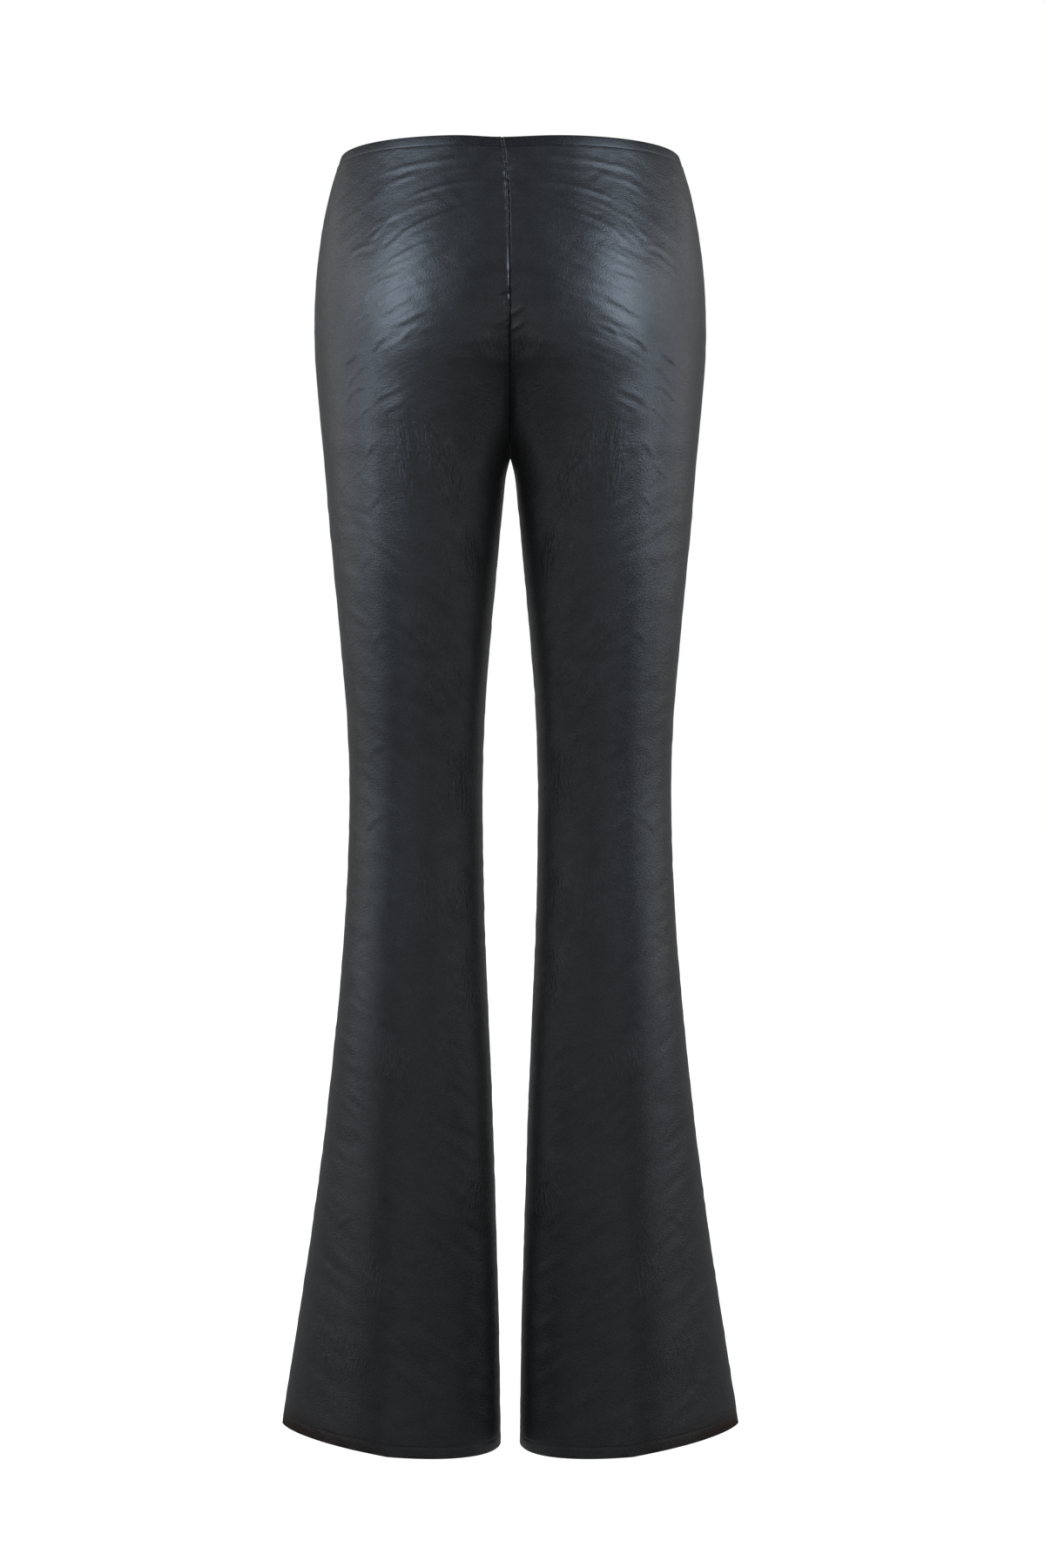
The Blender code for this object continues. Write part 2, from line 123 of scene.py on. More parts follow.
# Gathers along the centre back seam: height of the crest at the seam, how far it reaches
# over the panel, how far it stands out, and how far it drops for each millimetre outwards.
GATHER_COLUMNS = ("height", "reach", "rise", "drop")
GATHERS_LEFT = (
    (-20.9, 24, 1.1, 0.10),
    (-29.1, 18, 0.9, 0.10),
    (-36.6, 22, 1.2, 0.20),
    (-43.4, 26, 1.3, 0.30),
    (-51.6, 16, 0.9, 0.20),
    (-57.3, 14, 0.7, 0.20),
    (-63.8, 20, 1.0, 0.30),
    (-71.4, 14, 0.6, 0.20),
    (-78.6, 12, 0.5, 0.20),
    (-88.8, 10, 0.4, 0.10),
    (-97.5, 10, 0.4, 0.10),
    (-106.0, 14, 0.6, 0.20),
    (-115.0, 12, 0.5, 0.20),
    (-123.4, 22, 1.3, 0.30),
    (-129.4, 18, 1.0, 0.30),
    (-137.4, 20, 1.2, 0.40),
    (-147.0, 26, 1.7, 0.45),
    (-154.8, 14, 0.8, 0.40),
    (-162.2, 18, 1.1, 0.50),
    (-174.3, 18, 0.9, 0.50),
    (-185.0, 14, 0.6, 0.50),
)
GATHERS_RIGHT = (
    (-17.5, 26, 1.0, -0.20),
    (-24.3, 18, 1.2, 0.10),
    (-30.9, 20, 1.1, 0.10),
    (-38.6, 18, 1.2, -0.10),
    (-46.8, 16, 0.8, 0.10),
    (-53.2, 20, 1.0, 0.20),
    (-58.8, 16, 0.8, 0.20),
    (-64.6, 22, 1.0, 0.30),
    (-71.6, 14, 0.6, 0.20),
    (-80.2, 12, 0.5, 0.10),
    (-93.2, 10, 0.4, 0.10),
    (-103.0, 10, 0.4, 0.10),
    (-111.0, 12, 0.5, 0.10),
    (-119.8, 14, 0.7, -0.10),
    (-131.0, 16, 0.9, -0.20),
    (-140.9, 26, 1.7, -0.50),
    (-153.7, 22, 1.4, -0.50),
    (-161.5, 14, 0.8, -0.30),
    (-168.6, 16, 0.9, -0.30),
    (-178.4, 16, 0.7, -0.20),
)
GATHER_SHARPNESS = 0.36
GATHER_LOOK = 0.6  # the fine cloth stands out less than the solid, which has fewer vertices
GATHER_STRIP_WIDTH = 26.0
GATHER_FALL = 1.5  # power with which a gather dies away over its reach

# --- The cloth's own relief ------------------------------------------------------------

CLOTH_WALL = 1.3
CLOTH_GAP = 0.02  # between two pieces at a seam
SEAM_PINCH = 0.6
PINCH_WIDTH = 2.2

# Creases of one half, mirrored on the other, but for those of "back_left" and "back_right",
# which that half has alone: the points that a crease runs through, as distance from the middle
# plane and height, with its half width and its rise (a trough is negative).
CREASE_COLUMNS = ("panel", "path", "width", "rise")
CREASES = (
    # sweeping down and out from the gathered seam
    ("back", ((4, -16), (33, -18.5), (63, -22), (90, -26), (108, -31)), 2.4, 0.34),
    ("back", ((3, -26), (25, -26), (48, -29), (66, -33)), 1.8, 0.16),
    ("back", ((5, -30.5), (20, -31.5), (36, -34)), 1.5, 0.15),
    ("back", ((4, -37.5), (33, -38), (56, -42), (73, -47), (86, -53)), 2.0, 0.42),
    ("back", ((8, -46), (30, -49), (50, -54), (68, -61), (80, -68)), 2.2, 0.2),
    ("back", ((16, -55), (40, -60), (61, -67), (76, -74), (89, -84), (99, -94)), 2.3, 0.4),
    ("back", ((10, -63), (27, -66), (43, -72), (57, -80)), 2.6, 0.2),
    ("back", ((24, -78), (48, -88), (70, -101), (88, -117)), 3.0, 0.22),
    ("back", ((70, -30), (92, -36), (108, -44)), 2.2, 0.18),
    ("back", ((60, -52), (78, -58), (93, -68)), 1.7, 0.17),
    ("back", ((78, -58), (94, -66), (106, -78), (113, -90)), 2.0, 0.24),
    ("back", ((84, -72), (97, -82), (107, -95)), 1.8, 0.2),
    # short pleats beside the seam, which differ from one half to the other
    ("back_right", ((1, -141), (7, -137.5), (15, -132)), 1.3, 0.81),
    ("back_right", ((1, -153), (6, -150), (11.5, -146)), 1.3, 0.68),
    ("back_right", ((1, -125), (4, -122), (8, -118)), 1.3, 0.41),
    ("back_right", ((1, -25), (3, -22), (7, -19.5)), 1.2, 0.22),
    ("back_right", ((1, -31), (3, -28.5), (6, -27)), 1.1, 0.2),
    ("back_right", ((1, -37.5), (3, -35), (6.5, -34)), 1.1, 0.2),
    ("back_right", ((1, -45), (3, -42.5), (6, -41)), 1.1, 0.2),
    ("back_left", ((1, -143.5), (5, -146), (11, -150)), 1.3, 0.74),
    ("back_left", ((1, -122.5), (4.5, -124), (9, -126)), 2.1, 1.2),
    ("back_left", ((4, -127), (3.2, -135), (3.2, -143), (4, -149)), 1.5, 0.7),
    ("back_left", ((1, -132), (4, -134.5), (8, -138)), 1.3, 0.47),
    ("back_left", ((1, -19), (4, -21), (8, -22)), 1.2, 0.3),
    ("back_left", ((1, -33), (4, -35), (8, -36)), 1.2, 0.3),
    ("back_left", ((1, -52), (5, -54.5), (11, -57)), 1.3, 0.47),
    ("back_left", ((1, -60), (4, -62), (9, -65)), 1.3, 0.41),
    # in and round the brightest part of the seat
    ("back", ((129, -96), (121, -89), (112.5, -86.4), (103, -90)), 2.0, 0.33),
    ("back", ((111, -124.5), (101.6, -117.7), (86.6, -113.6), (73, -107)), 2.0, 0.39),
    ("back", ((119.3, -137), (113, -127.3), (108.4, -122)), 1.9, 0.39),
    ("back", ((106, -132), (94, -127), (80, -121), (66, -117)), 2.2, 0.26),
    ("back", ((108, -146), (96, -140), (84, -133), (72, -129)), 2.2, 0.3),
    ("back", ((100.2, -154.5), (84, -149), (73, -143.6), (59, -138)), 2.4, 0.39),
    ("back", ((85, -162.7), (78.4, -156), (66, -151)), 2.0, 0.33),
    ("back", ((110, -173.6), (104.3, -165.4), (101, -159)), 2.0, 0.36),
    ("back", ((131.6, -179), (124.7, -173.6), (115, -168)), 2.0, 0.39),
    ("back", ((96, -101), (86, -97), (74, -90), (60, -86)), 2.2, 0.26),
    ("back", ((104, -110), (92, -105), (80, -99)), 1.9, 0.26),
    ("back", ((124, -150), (116, -143), (108, -139)), 1.9, 0.26),
    # under the seat, towards the fork
    ("back", ((1.4, -167), (13, -168), (31, -170), (46, -171)), 5.0, -0.4),
    ("back", ((4, -176), (9, -190), (14, -206), (19, -222)), 4.0, -0.2),
    ("back", ((10, -172), (18, -186), (26, -203), (33, -222)), 4.0, 0.18),
    # outside of the hip
    ("back", ((131, -199), (120, -184.5), (112, -179)), 2.0, 0.41),
    ("back", ((132, -211), (122, -198.2), (110, -197)), 2.0, 0.36),
    ("back", ((113, -217), (103, -206.3), (92, -201.6), (80, -195)), 2.1, 0.22),
    ("back", ((100, -218.5), (92, -213.8), (80, -208)), 1.9, 0.16),
    ("back", ((124, -228), (117, -217), (108, -211)), 1.9, 0.27),
    ("back", ((116, -255), (110, -244), (104, -237)), 1.9, 0.27),
    ("back", ((113, -294), (108, -286), (103, -281)), 1.9, 0.27),
    ("back", ((124, -268), (118, -259), (111, -254)), 1.9, 0.18),
    # legs
    ("back", ((121, -341), (114, -331), (106, -326)), 2.2, 0.2),
    ("back", ((112, -402), (104, -391), (93, -386)), 2.4, 0.2),
    ("back", ((118, -549), (110, -539), (96, -531)), 2.2, 0.35),
    ("back", ((116, -488), (107, -480), (95, -476)), 2.4, 0.2),
    ("back", ((111, -705), (105, -700), (98, -696)), 2.0, 0.3),
    ("back", ((130, -640), (120, -631), (108, -628)), 2.4, 0.17),
    ("back", ((142, -871), (133, -861.4), (125, -858)), 2.0, 0.3),
    ("back", ((115, -871), (110, -867), (105, -864)), 1.9, 0.25),
    ("back", ((151, -909), (146, -903), (141, -898)), 1.9, 0.25),
    ("back", ((96, -800), (84, -791), (70, -787)), 1.9, 0.26),
    ("back", ((166, -1003), (158, -995), (147, -992)), 2.2, 0.2),
    # front: whiskers from the fork, under the waist and behind the knee
    ("front", ((4, -168), (20, -152), (38, -140), (56, -131)), 3.4, 0.9),
    ("front", ((5, -186), (26, -172), (50, -162), (78, -154)), 3.6, 0.98),
    ("front", ((7, -204), (28, -194), (54, -187), (88, -182)), 3.6, 0.83),
    ("front", ((9, -221), (34, -214), (62, -210), (98, -208)), 3.8, 0.68),
    ("front", ((6, -150), (16, -132), (26, -116), (33, -102)), 3.4, 0.52),
    ("front", ((30, -26), (54, -31), (80, -40), (102, -52)), 3.6, 0.52),
    ("front", ((44, -52), (66, -60), (92, -74), (112, -90)), 3.8, 0.45),
    ("front", ((128, -122), (116, -112), (102, -107), (88, -106)), 3.8, 0.25),
    ("front", ((124, -232), (110, -222), (94, -219)), 3.5, 0.3),
    ("front", ((126, -262), (114, -251), (101, -247)), 3.5, 0.25),
    ("front", ((118, -360), (106, -350), (90, -345)), 3.8, 0.2),
    ("front", ((34, -318), (46, -308), (60, -305)), 3.8, 0.2),
    ("front", ((118, -487), (98, -478), (74, -477)), 3.2, 0.45),
    ("front", ((40, -505), (62, -497), (88, -500)), 3.2, 0.52),
    ("front", ((122, -527), (104, -517), (84, -514)), 3.0, 0.45),
    ("front", ((36, -548), (54, -541), (72, -542)), 3.8, 0.2),
    ("front", ((116, -690), (104, -683), (92, -680)), 3.5, 0.2),
    ("front", ((140, -866), (130, -858), (117, -855)), 3.5, 0.25),
    ("front", ((60, -790), (74, -783), (90, -782)), 3.8, 0.17),
)
CREASE_SAMPLES = 8
CREASE_FADE = 0.38  # share of a crease's length over which an end dies away
SEAM_FADE = 0.10  # the same at the end of one that starts at the centre seam
SEAM_NEAR = 5.5  # a crease that starts nearer the middle plane than this starts at the seam
# The trough that runs below each ridge: depth as a share of the ridge's rise, and how far below
# it lies and its half width, both in half widths of the ridge
CREASE_TROUGH = 0.55
CREASE_TROUGH_OFFSET = 1.7
CREASE_TROUGH_WIDTH = 1.2
CREASE_UNEVENNESS = 0.3
CREASE_LUMPS = 5  # knots of the unevenness along a crease
CREASE_REACH = 3.6
CREASE_SEED = 7
LUMP_SEED = 11
MIRROR_SHIFT = 1.6
MIRROR_RISE = 0.18

# Patches of fine upright crinkles: the middle's distance from the middle plane and height,
# half width and half height, how far it leans to the middle plane as it falls, and strength
PATCH_SHARPNESS = 0.8
PATCH_COLUMNS = ("panel", "x", "z", "half_x", "half_z", "lean", "strength")
PATCHES = (
    ("back", 15.5, -167, 15, 10, 0.0, 0.8),
    ("back", 81.5, -253, 8, 32, 0.1, 0.6),
    ("back", 55, -255, 13, 32, 0.35, 1.0),
    ("back", 34, -326, 7, 19, 0.1, 0.6),
    ("back", 52, -342, 6, 21, 0.0, 0.5),
    ("back", 72, -390, 12, 19, 0.2, 0.7),
    ("back", 63, -431, 12, 17, 0.1, 0.7),
    ("back", 45, -430, 7, 16, 0.0, 0.5),
    ("back", 44, -506, 13, 24, 0.1, 0.7),
    ("back", 66, -601, 11, 27, 0.1, 0.6),
    ("back", 41, -600, 9, 18, 0.1, 0.5),
    ("back", 34, -667, 9, 21, 0.1, 0.5),
    ("back", 83, -739, 13, 25, 0.3, 0.6),
    ("back", 68, -773, 6, 9, 0.0, 0.4),
    ("back", 30, -834, 11, 25, 0.1, 0.6),
    ("back", 138, -966, 21, 19, 0.4, 0.4),
    ("back", 104, -905, 14, 16, 0.2, 0.4),
    ("front", 60, -262, 14, 30, 0.3, 0.9),
    ("front", 92, -250, 9, 26, 0.1, 0.5),
    ("front", 48, -372, 10, 24, 0.1, 0.6),
    ("front", 78, -446, 14, 20, 0.2, 0.7),
    ("front", 52, -565, 13, 24, 0.1, 0.7),
    ("front", 88, -640, 11, 25, 0.2, 0.6),
    ("front", 40, -745, 11, 24, 0.1, 0.6),
    ("front", 96, -828, 14, 22, 0.3, 0.7),
    ("front", 132, -960, 20, 18, 0.4, 0.6),
)

# Rows and columns of vertices
SEAT_ROW = 1.35
LEG_ROW = 2.8
LEG_ROW_START = 30  # how far below the fork the rows begin to lie further apart
HEM_ROW = 0.7
HEM_ROW_REACH = 3.0
EDGE_COLUMNS = (0.0, 0.4, 0.9, 1.6, 2.5, 3.6, 4.9, 6.4, 8.0, 9.8, 11.8, 14.0)
BROAD_COLUMNS = 110
LINING_STEP = 3
LOOP_SAMPLES = 161
LEVEL_SAMPLES = 6000
HEM_LIP = 0.4  # how far the middle of the rim hangs below its edges at the hem
SHARP_ANGLE = 55

# --- Form functions, as in the part's source ---------------------------------------------

TABLE = {name: np.array(values, float)[::-1] for name, values in zip(SECTION_COLUMNS, zip(*SECTIONS))}
SLOPES = {name: np.gradient(values, TABLE["height"]) for name, values in TABLE.items()}


def section_size(name, height):
    """A column of the section table at any height, on a smooth curve through its rows."""
    knots = TABLE["height"]
    height = np.clip(height, knots[0], knots[-1])
    upper = np.clip(np.searchsorted(knots, height), 1, len(knots) - 1)
    lower = upper - 1
    span = knots[upper] - knots[lower]
    t = (height - knots[lower]) / span
    start, end = TABLE[name][lower], TABLE[name][upper]
    start_slope, end_slope = SLOPES[name][lower] * span, SLOPES[name][upper] * span
    return (start * (1 + 2 * t) * (1 - t) ** 2 + start_slope * t * (1 - t) ** 2
            + end * t * t * (3 - 2 * t) + end_slope * t * t * (t - 1))


def ease(value):
    """0 below 0, 1 above 1, and a smooth step between."""
    value = np.clip(value, 0, 1)
    return value * value * (3 - 2 * value)


def split(panel, height):
    """The loop centre's distance from the middle plane, as a share of the loop's half width."""
    outer, inner = section_size("outer", height), section_size("inner", height)
    ratio = (outer + inner) / (outer - inner)
    if panel == "front":
        ratio = ratio ** (1 + FRONT_FLATNESS * ease((height - FORK) / FRONT_FLATNESS_FADE))
    return ratio


def inner_angle(panel, height):
    """The angle round the loop, from the side seam, at which the panel's inner edge lies."""
    ratio = np.minimum(split(panel, height), 1)
    return math.pi / 2 + np.arcsin(ratio ** (section_size("power", height) / 2))


def loop_point(panel, height, angle):
    """Distance from the middle plane and place front to back of a point on the loop."""
    ratio = split(panel, height)
    half_width = section_size("outer", height) / (1 + ratio)
    cosine, sine = np.cos(angle), np.abs(np.sin(angle))
    power = 2 / np.where(cosine > 0, section_size("edge", height), section_size("power", height))
    across = half_width * (ratio + np.sign(cosine) * np.abs(cosine) ** power)
    depth = section_size(panel, height) * sine ** power
    forward = depth if panel == "front" else -depth
    return across, section_size("middle", height) + forward


def loops(panel, heights):
    """Angles round each section from its inner edge, the distance walked to each and how far
    each lies from the middle plane."""
    share = np.linspace(1, 0, LOOP_SAMPLES)
    angles = inner_angle(panel, heights)[:, None] * share
    across, forward = loop_point(panel, heights[:, None], angles)
    steps = np.hypot(np.diff(across, axis=1), np.diff(forward, axis=1))
    walked = np.concatenate([np.zeros((len(heights), 1)), np.cumsum(steps, axis=1)], axis=1)
    return angles, walked, across


def girth(panel, heights):
    """Width of the panel along the section at each height, inner edge to side seam."""
    return loops(panel, heights)[1][:, -1]


def bare_surface(panel, heights, reach):
    """Points of the outer form without folds. Row i has reach[i], walked from the inner edge."""
    angles, walked, _ = loops(panel, heights)
    turn = np.array([np.interp(row, walk, angle) for row, walk, angle in zip(reach, walked, angles)])
    sine, cosine = np.sin(turn), np.cos(turn)
    level = heights[:, None]
    rise = BACK_WAIST_RISE * sine ** 2 if panel == "back" else -FRONT_WAIST_DROP * sine ** 2
    slant = HEM_SLANT * cosine - HEM_MIDDLE_DROP * sine
    at_waist, at_hem = ease(1 + level / WAIST_FADE), ease((HEM + HEM_FADE - level) / HEM_FADE)
    height = level + rise * at_waist + slant * at_hem
    turn = turn / inner_angle(panel, level) * inner_angle(panel, height)
    across, forward = loop_point(panel, height, turn)
    return np.stack([across, forward, height], axis=-1)


def outward(panel, heights, reach):
    """Unit normals of the bare form, from short steps along and across the cloth."""
    step = 0.5
    width = girth(panel, heights)[:, None]
    along = (bare_surface(panel, heights, np.minimum(reach + step, width))
             - bare_surface(panel, heights, np.maximum(reach - step, 0)))
    down = bare_surface(panel, heights - step, reach) - bare_surface(panel, heights + step, reach)
    normal = np.cross(down, along)
    normal /= np.linalg.norm(normal, axis=-1, keepdims=True)
    return normal if panel == "back" else -normal


# --- Relief ------------------------------------------------------------------------------

NOISE_KNOTS = 97


def noise(x, y, seed):
    """Smooth random values between -1 and 1, with one knot for each unit of x and of y."""
    knots = np.random.default_rng(seed).uniform(-1, 1, (NOISE_KNOTS, NOISE_KNOTS))
    x, y = np.broadcast_arrays(x, y)
    column, row = np.floor(x).astype(int), np.floor(y).astype(int)
    s, t = ease(x - column), ease(y - row)
    left, right = column % NOISE_KNOTS, (column + 1) % NOISE_KNOTS
    low, high = row % NOISE_KNOTS, (row + 1) % NOISE_KNOTS
    return ((knots[left, low] * (1 - s) + knots[right, low] * s) * (1 - t)
            + (knots[left, high] * (1 - s) + knots[right, high] * s) * t)


def bell(value):
    """1 at 0, falling smoothly to nothing on both sides."""
    return np.exp(-value ** 2)


def gather_relief(gathers, height, reach):
    """How far the gathers lift the cloth beside the centre back seam."""
    table = dict(zip(GATHER_COLUMNS, np.array(gathers).T))
    spaces = np.gradient(-table["height"])
    lift = np.zeros_like(height + reach)
    near = reach * np.clip(1 - reach / GATHER_STRIP_WIDTH, 0, 1)
    for crest, length, rise, drop, space in zip(*(table[name] for name in GATHER_COLUMNS), spaces):
        ridge = bell((height - crest + drop * near) / (space * GATHER_SHARPNESS))
        lift += GATHER_LOOK * rise * ridge * np.clip(1 - reach / length, 0, 1) ** GATHER_FALL
    return lift


def smooth_path(points, samples):
    """A curve through the points, with that many steps between one point and the next."""
    points = np.array(points, float)
    padded = np.concatenate([[2 * points[0] - points[1]], points, [2 * points[-1] - points[-2]]])
    path = []
    for before, start, end, after in zip(padded, padded[1:], padded[2:], padded[3:]):
        for t in np.arange(samples) / samples:
            path.append(0.5 * (2 * start + (end - before) * t
                               + (2 * before - 5 * start + 4 * end - after) * t ** 2
                               + (3 * start - before - 3 * end + after) * t ** 3))
    return np.array(path + [points[-1]])


def from_side_seam(panel, points):
    """Points given as distance from the middle plane and height, on the cloth: distance from
    the side seam along the section, and height."""
    placed = []
    for across, height in points:
        _, walked, level = loops(panel, np.array([float(height)]))
        placed.append((walked[0, -1] - np.interp(across, level[0], walked[0]), height))
    return placed


def crease_relief(panel, side, aside, height):
    """How far the creases lift the cloth. aside is the distance from the side seam."""
    height = np.broadcast_to(height, aside.shape)
    lift = np.zeros_like(aside)
    shuffle = np.random.default_rng(CREASE_SEED)
    for row in CREASES:
        crease = dict(zip(CREASE_COLUMNS, row))
        shift, change = shuffle.uniform(-1, 1, 2), shuffle.uniform(-1, 1)
        if crease["panel"] not in (panel, f"{panel}_{'left' if side < 0 else 'right'}"):
            continue
        path = smooth_path(from_side_seam(panel, crease["path"]), CREASE_SAMPLES)
        width, rise = crease["width"], crease["rise"]
        if side > 0:
            path = path + shift * MIRROR_SHIFT
            rise *= 1 + change * MIRROR_RISE
        room = width * CREASE_REACH
        near = ((aside > path[:, 0].min() - room) & (aside < path[:, 0].max() + room)
                & (height > path[:, 1].min() - room) & (height < path[:, 1].max() + room))
        place = np.stack([aside[near], height[near]], axis=-1)[:, None]
        start, run = path[:-1], np.diff(path, axis=0)
        along = np.clip(((place - start) * run).sum(-1) / (run ** 2).sum(-1), 0, 1)
        offset = place - start - along[..., None] * run
        distance = np.linalg.norm(offset, axis=-1)
        nearest = distance.argmin(axis=1)
        pick = np.arange(len(nearest)), nearest
        turn = run[nearest, 0] * offset[pick][:, 1] - run[nearest, 1] * offset[pick][:, 0]
        downhill = np.sign(turn) * (1 if path[-1, 0] < path[0, 0] else -1)
        signed = distance[pick] * downhill
        share = (nearest + along[pick]) / len(run)
        start_fade = SEAM_FADE if crease["path"][0][0] < SEAM_NEAR else CREASE_FADE
        fade = ease(share / start_fade) * ease((1 - share) / CREASE_FADE)
        uneven = 1 + CREASE_UNEVENNESS * noise(share * CREASE_LUMPS, np.zeros_like(share), LUMP_SEED)
        trough = CREASE_TROUGH * bell((signed / width - CREASE_TROUGH_OFFSET) / CREASE_TROUGH_WIDTH)
        lift[near] += rise * fade * uneven * (bell(signed / width) - trough)
    return lift


# Sweeping ripples of the seat: how fast they fall away from the middle plane, their spacing
# and length, their height, and where they lie
SWEEP = 0.0028
RIPPLE_SPACE = 2.5
RIPPLE_LENGTH = 17.0
RIPPLE_RISE = 0.16
RIPPLE_MIDDLE = (84.0, -105.0)
RIPPLE_HALF = (80.0, 85.0)
RIPPLE_SCALES = (1.0, 1.9)
RIPPLE_SEEDS = {"back": 30, "front": 60}
# Soft swells: spacing across, spacing up and down, height
SWELLS = ((62.0, 84.0, 0.35), (27.0, 38.0, 0.14), (11.0, 15.0, 0.06))
SWELL_SHIFT = 0.15  # in spacings, one way on the left half and the other on the right
# Slanting unevenness: height on the seat and how much more on the legs, spacing across and
# along, and its slant, with the length of a step of one across and that much up
SLANT_RISE = 0.08
SLANT_LEG_RISE = 0.16
SLANT_SPACE = (5.5, 16.0)
SLANT = 0.8
SLANT_STEP = 1.28


def ripple_relief(panel, side, across, aside, height):
    """Small ripples that sweep over the seat, and soft swells everywhere."""
    seed = RIPPLE_SEEDS[panel]
    lift = np.zeros_like(aside)
    for order, (wide, tall, rise) in enumerate(SWELLS):
        lift += rise * noise(aside / wide + SWELL_SHIFT * side, height / tall, seed + order)
    fall = height + SWEEP * across ** 2
    (middle, level), (half_width, half_height) = RIPPLE_MIDDLE, RIPPLE_HALF
    patch = bell((across - middle) / half_width) * bell((height - level) / half_height)
    for order, scale in enumerate(RIPPLE_SCALES):
        space, length = RIPPLE_SPACE * scale, RIPPLE_LENGTH * scale
        ripple = noise(fall / space, across / length + side, seed + 10 + order)
        lift += RIPPLE_RISE * scale ** 0.5 * ripple * patch
    slope = (across * SLANT - height) / SLANT_STEP
    along = (across + height * SLANT) / SLANT_STEP
    rise = SLANT_RISE + SLANT_LEG_RISE * ease((FORK - height) / LEG_FADE)
    return lift + rise * noise(slope / SLANT_SPACE[0], along / SLANT_SPACE[1] + side, seed + 20)


# The gathered seam: the left panel's edge stands up as a thin roll over the right one's
ROLL_RISE = 0.5
ROLL_UNEVENNESS = 0.22
ROLL_GROWTH = 0.9  # further down, where the cloth falls in towards the seam
ROLL_GROWTH_TOP = -80.0
ROLL_GROWTH_FADE = 25
ROLL_PLACE = 1.0
ROLL_WIDTH = 0.75
ROLL_TOP = -22.0
ROLL_TOP_FADE = 10
ROLL_END = -152.0
ROLL_END_FADE = 14
ROLL_LUMP = 3.1
ROLL_SEED = 8
TUCK_DEPTH = 1.25
TUCK_WIDTH = 0.8
PUCKER_SPACE = 2.6
PUCKER_LENGTH = 6
PUCKER_SHIFT = 3  # between the middle and either half, so that the two halves differ
PUCKER_SEED = 5
PUCKER_BELOW = 45  # how far below the roll's end the strong puckers have died away
PUCKER_FADE = 40
PUCKER_LEFT = 0.2  # share of their height that is left further down
PUCKER_RISE = 0.5
PLAIN_PUCKER_RISE = 0.12  # at the seams that aren't gathered
PUCKER_REACH = 3.6
GROOVE_DEPTH = 0.22
GROOVE_WIDTH = 0.9
BAND_PINCH = 0.2


def seam_relief(panel, side, level, reach, to_side_seam):
    """How the cloth dips, rolls and puckers at its seams, and dips along the stitched hem."""
    lift = -SEAM_PINCH * bell(to_side_seam / PINCH_WIDTH)
    pucker = noise(level / PUCKER_SPACE, reach / PUCKER_LENGTH + PUCKER_SHIFT * side, PUCKER_SEED)
    lift += PLAIN_PUCKER_RISE * pucker * bell(to_side_seam / PUCKER_REACH)
    lift -= GROOVE_DEPTH * bell((level - HEM - HEM_TURN_UP) / GROOVE_WIDTH)
    lift -= BAND_PINCH * bell((level + BAND_DEPTH) / GROOVE_WIDTH)
    if panel == "front":
        lift += PLAIN_PUCKER_RISE * pucker * bell(reach / PUCKER_REACH)
        return lift - SEAM_PINCH * bell(reach / PINCH_WIDTH)
    rolled = ease((ROLL_TOP - level) / ROLL_TOP_FADE) * ease((level - ROLL_END) / ROLL_END_FADE)
    gathered = ease((level - ROLL_END + PUCKER_BELOW) / PUCKER_FADE)
    strength = PUCKER_LEFT + (1 - PUCKER_LEFT) * gathered
    lift += PUCKER_RISE * np.maximum(pucker, 0) * bell(reach / PUCKER_REACH) * strength
    if side < 0:
        uneven = 1 + ROLL_UNEVENNESS * noise(level / ROLL_LUMP, np.zeros_like(level), ROLL_SEED)
        growth = 1 + ROLL_GROWTH * ease((ROLL_GROWTH_TOP - level) / ROLL_GROWTH_FADE)
        lift += ROLL_RISE * growth * rolled * uneven * bell((reach - ROLL_PLACE) / ROLL_WIDTH)
        return lift - TUCK_DEPTH * (1 - rolled) * bell(reach / TUCK_WIDTH)
    return lift - TUCK_DEPTH * bell(reach / TUCK_WIDTH)


def relief(panel, side, level, reach, width, points, lining):
    """Everything that lifts or sinks the cloth from its bare form, in millimetres outwards."""
    aside = width - reach
    lift = crease_relief(panel, side, aside, level)
    if lining:
        lift = np.minimum(lift, 0)
    else:
        lift += ripple_relief(panel, side, points[..., 0], aside, level)
    lift += seam_relief(panel, side, level, reach, aside)
    if panel == "back":
        lift -= LUMBAR_HOLLOW * bell(reach / LUMBAR_WIDTH) * ease(1 + level / LUMBAR_FADE)
        if not lining:
            lift += gather_relief(GATHERS_LEFT if side < 0 else GATHERS_RIGHT, level, reach)
    return lift


def cloth(panel, side, heights, reach, inset=0.0, lining=False):
    """Points of the finished cloth's outer face, or of a face inset millimetres inside it."""
    width = girth(panel, heights)[:, None]
    points = bare_surface(panel, heights, reach)
    lift = relief(panel, side, heights[:, None], reach, width, points, lining) - inset
    points = points + outward(panel, heights, reach) * lift[..., None]
    half_gap = CLOTH_GAP / 2
    points[..., 0] = np.maximum(points[..., 0], half_gap)
    middle = section_size("middle", points[..., 2])
    at_seam = (reach <= 0) & (heights[:, None] <= FORK) | (reach >= width - 1e-6)
    seam_place = middle - half_gap if panel == "back" else middle + half_gap
    points[..., 1] = np.where(at_seam, seam_place, points[..., 1])
    points[..., 0] = np.where((reach <= 0) & (heights[:, None] > FORK), half_gap, points[..., 0])
    lean = SEAM_LEAN * np.exp(points[..., 2] / SEAM_LEAN_FADE) * ease(1 - points[..., 0] / SEAM_LEAN_WIDTH)
    points[..., 0] = side * points[..., 0] - lean
    return points


# --- Meshes ------------------------------------------------------------------------------

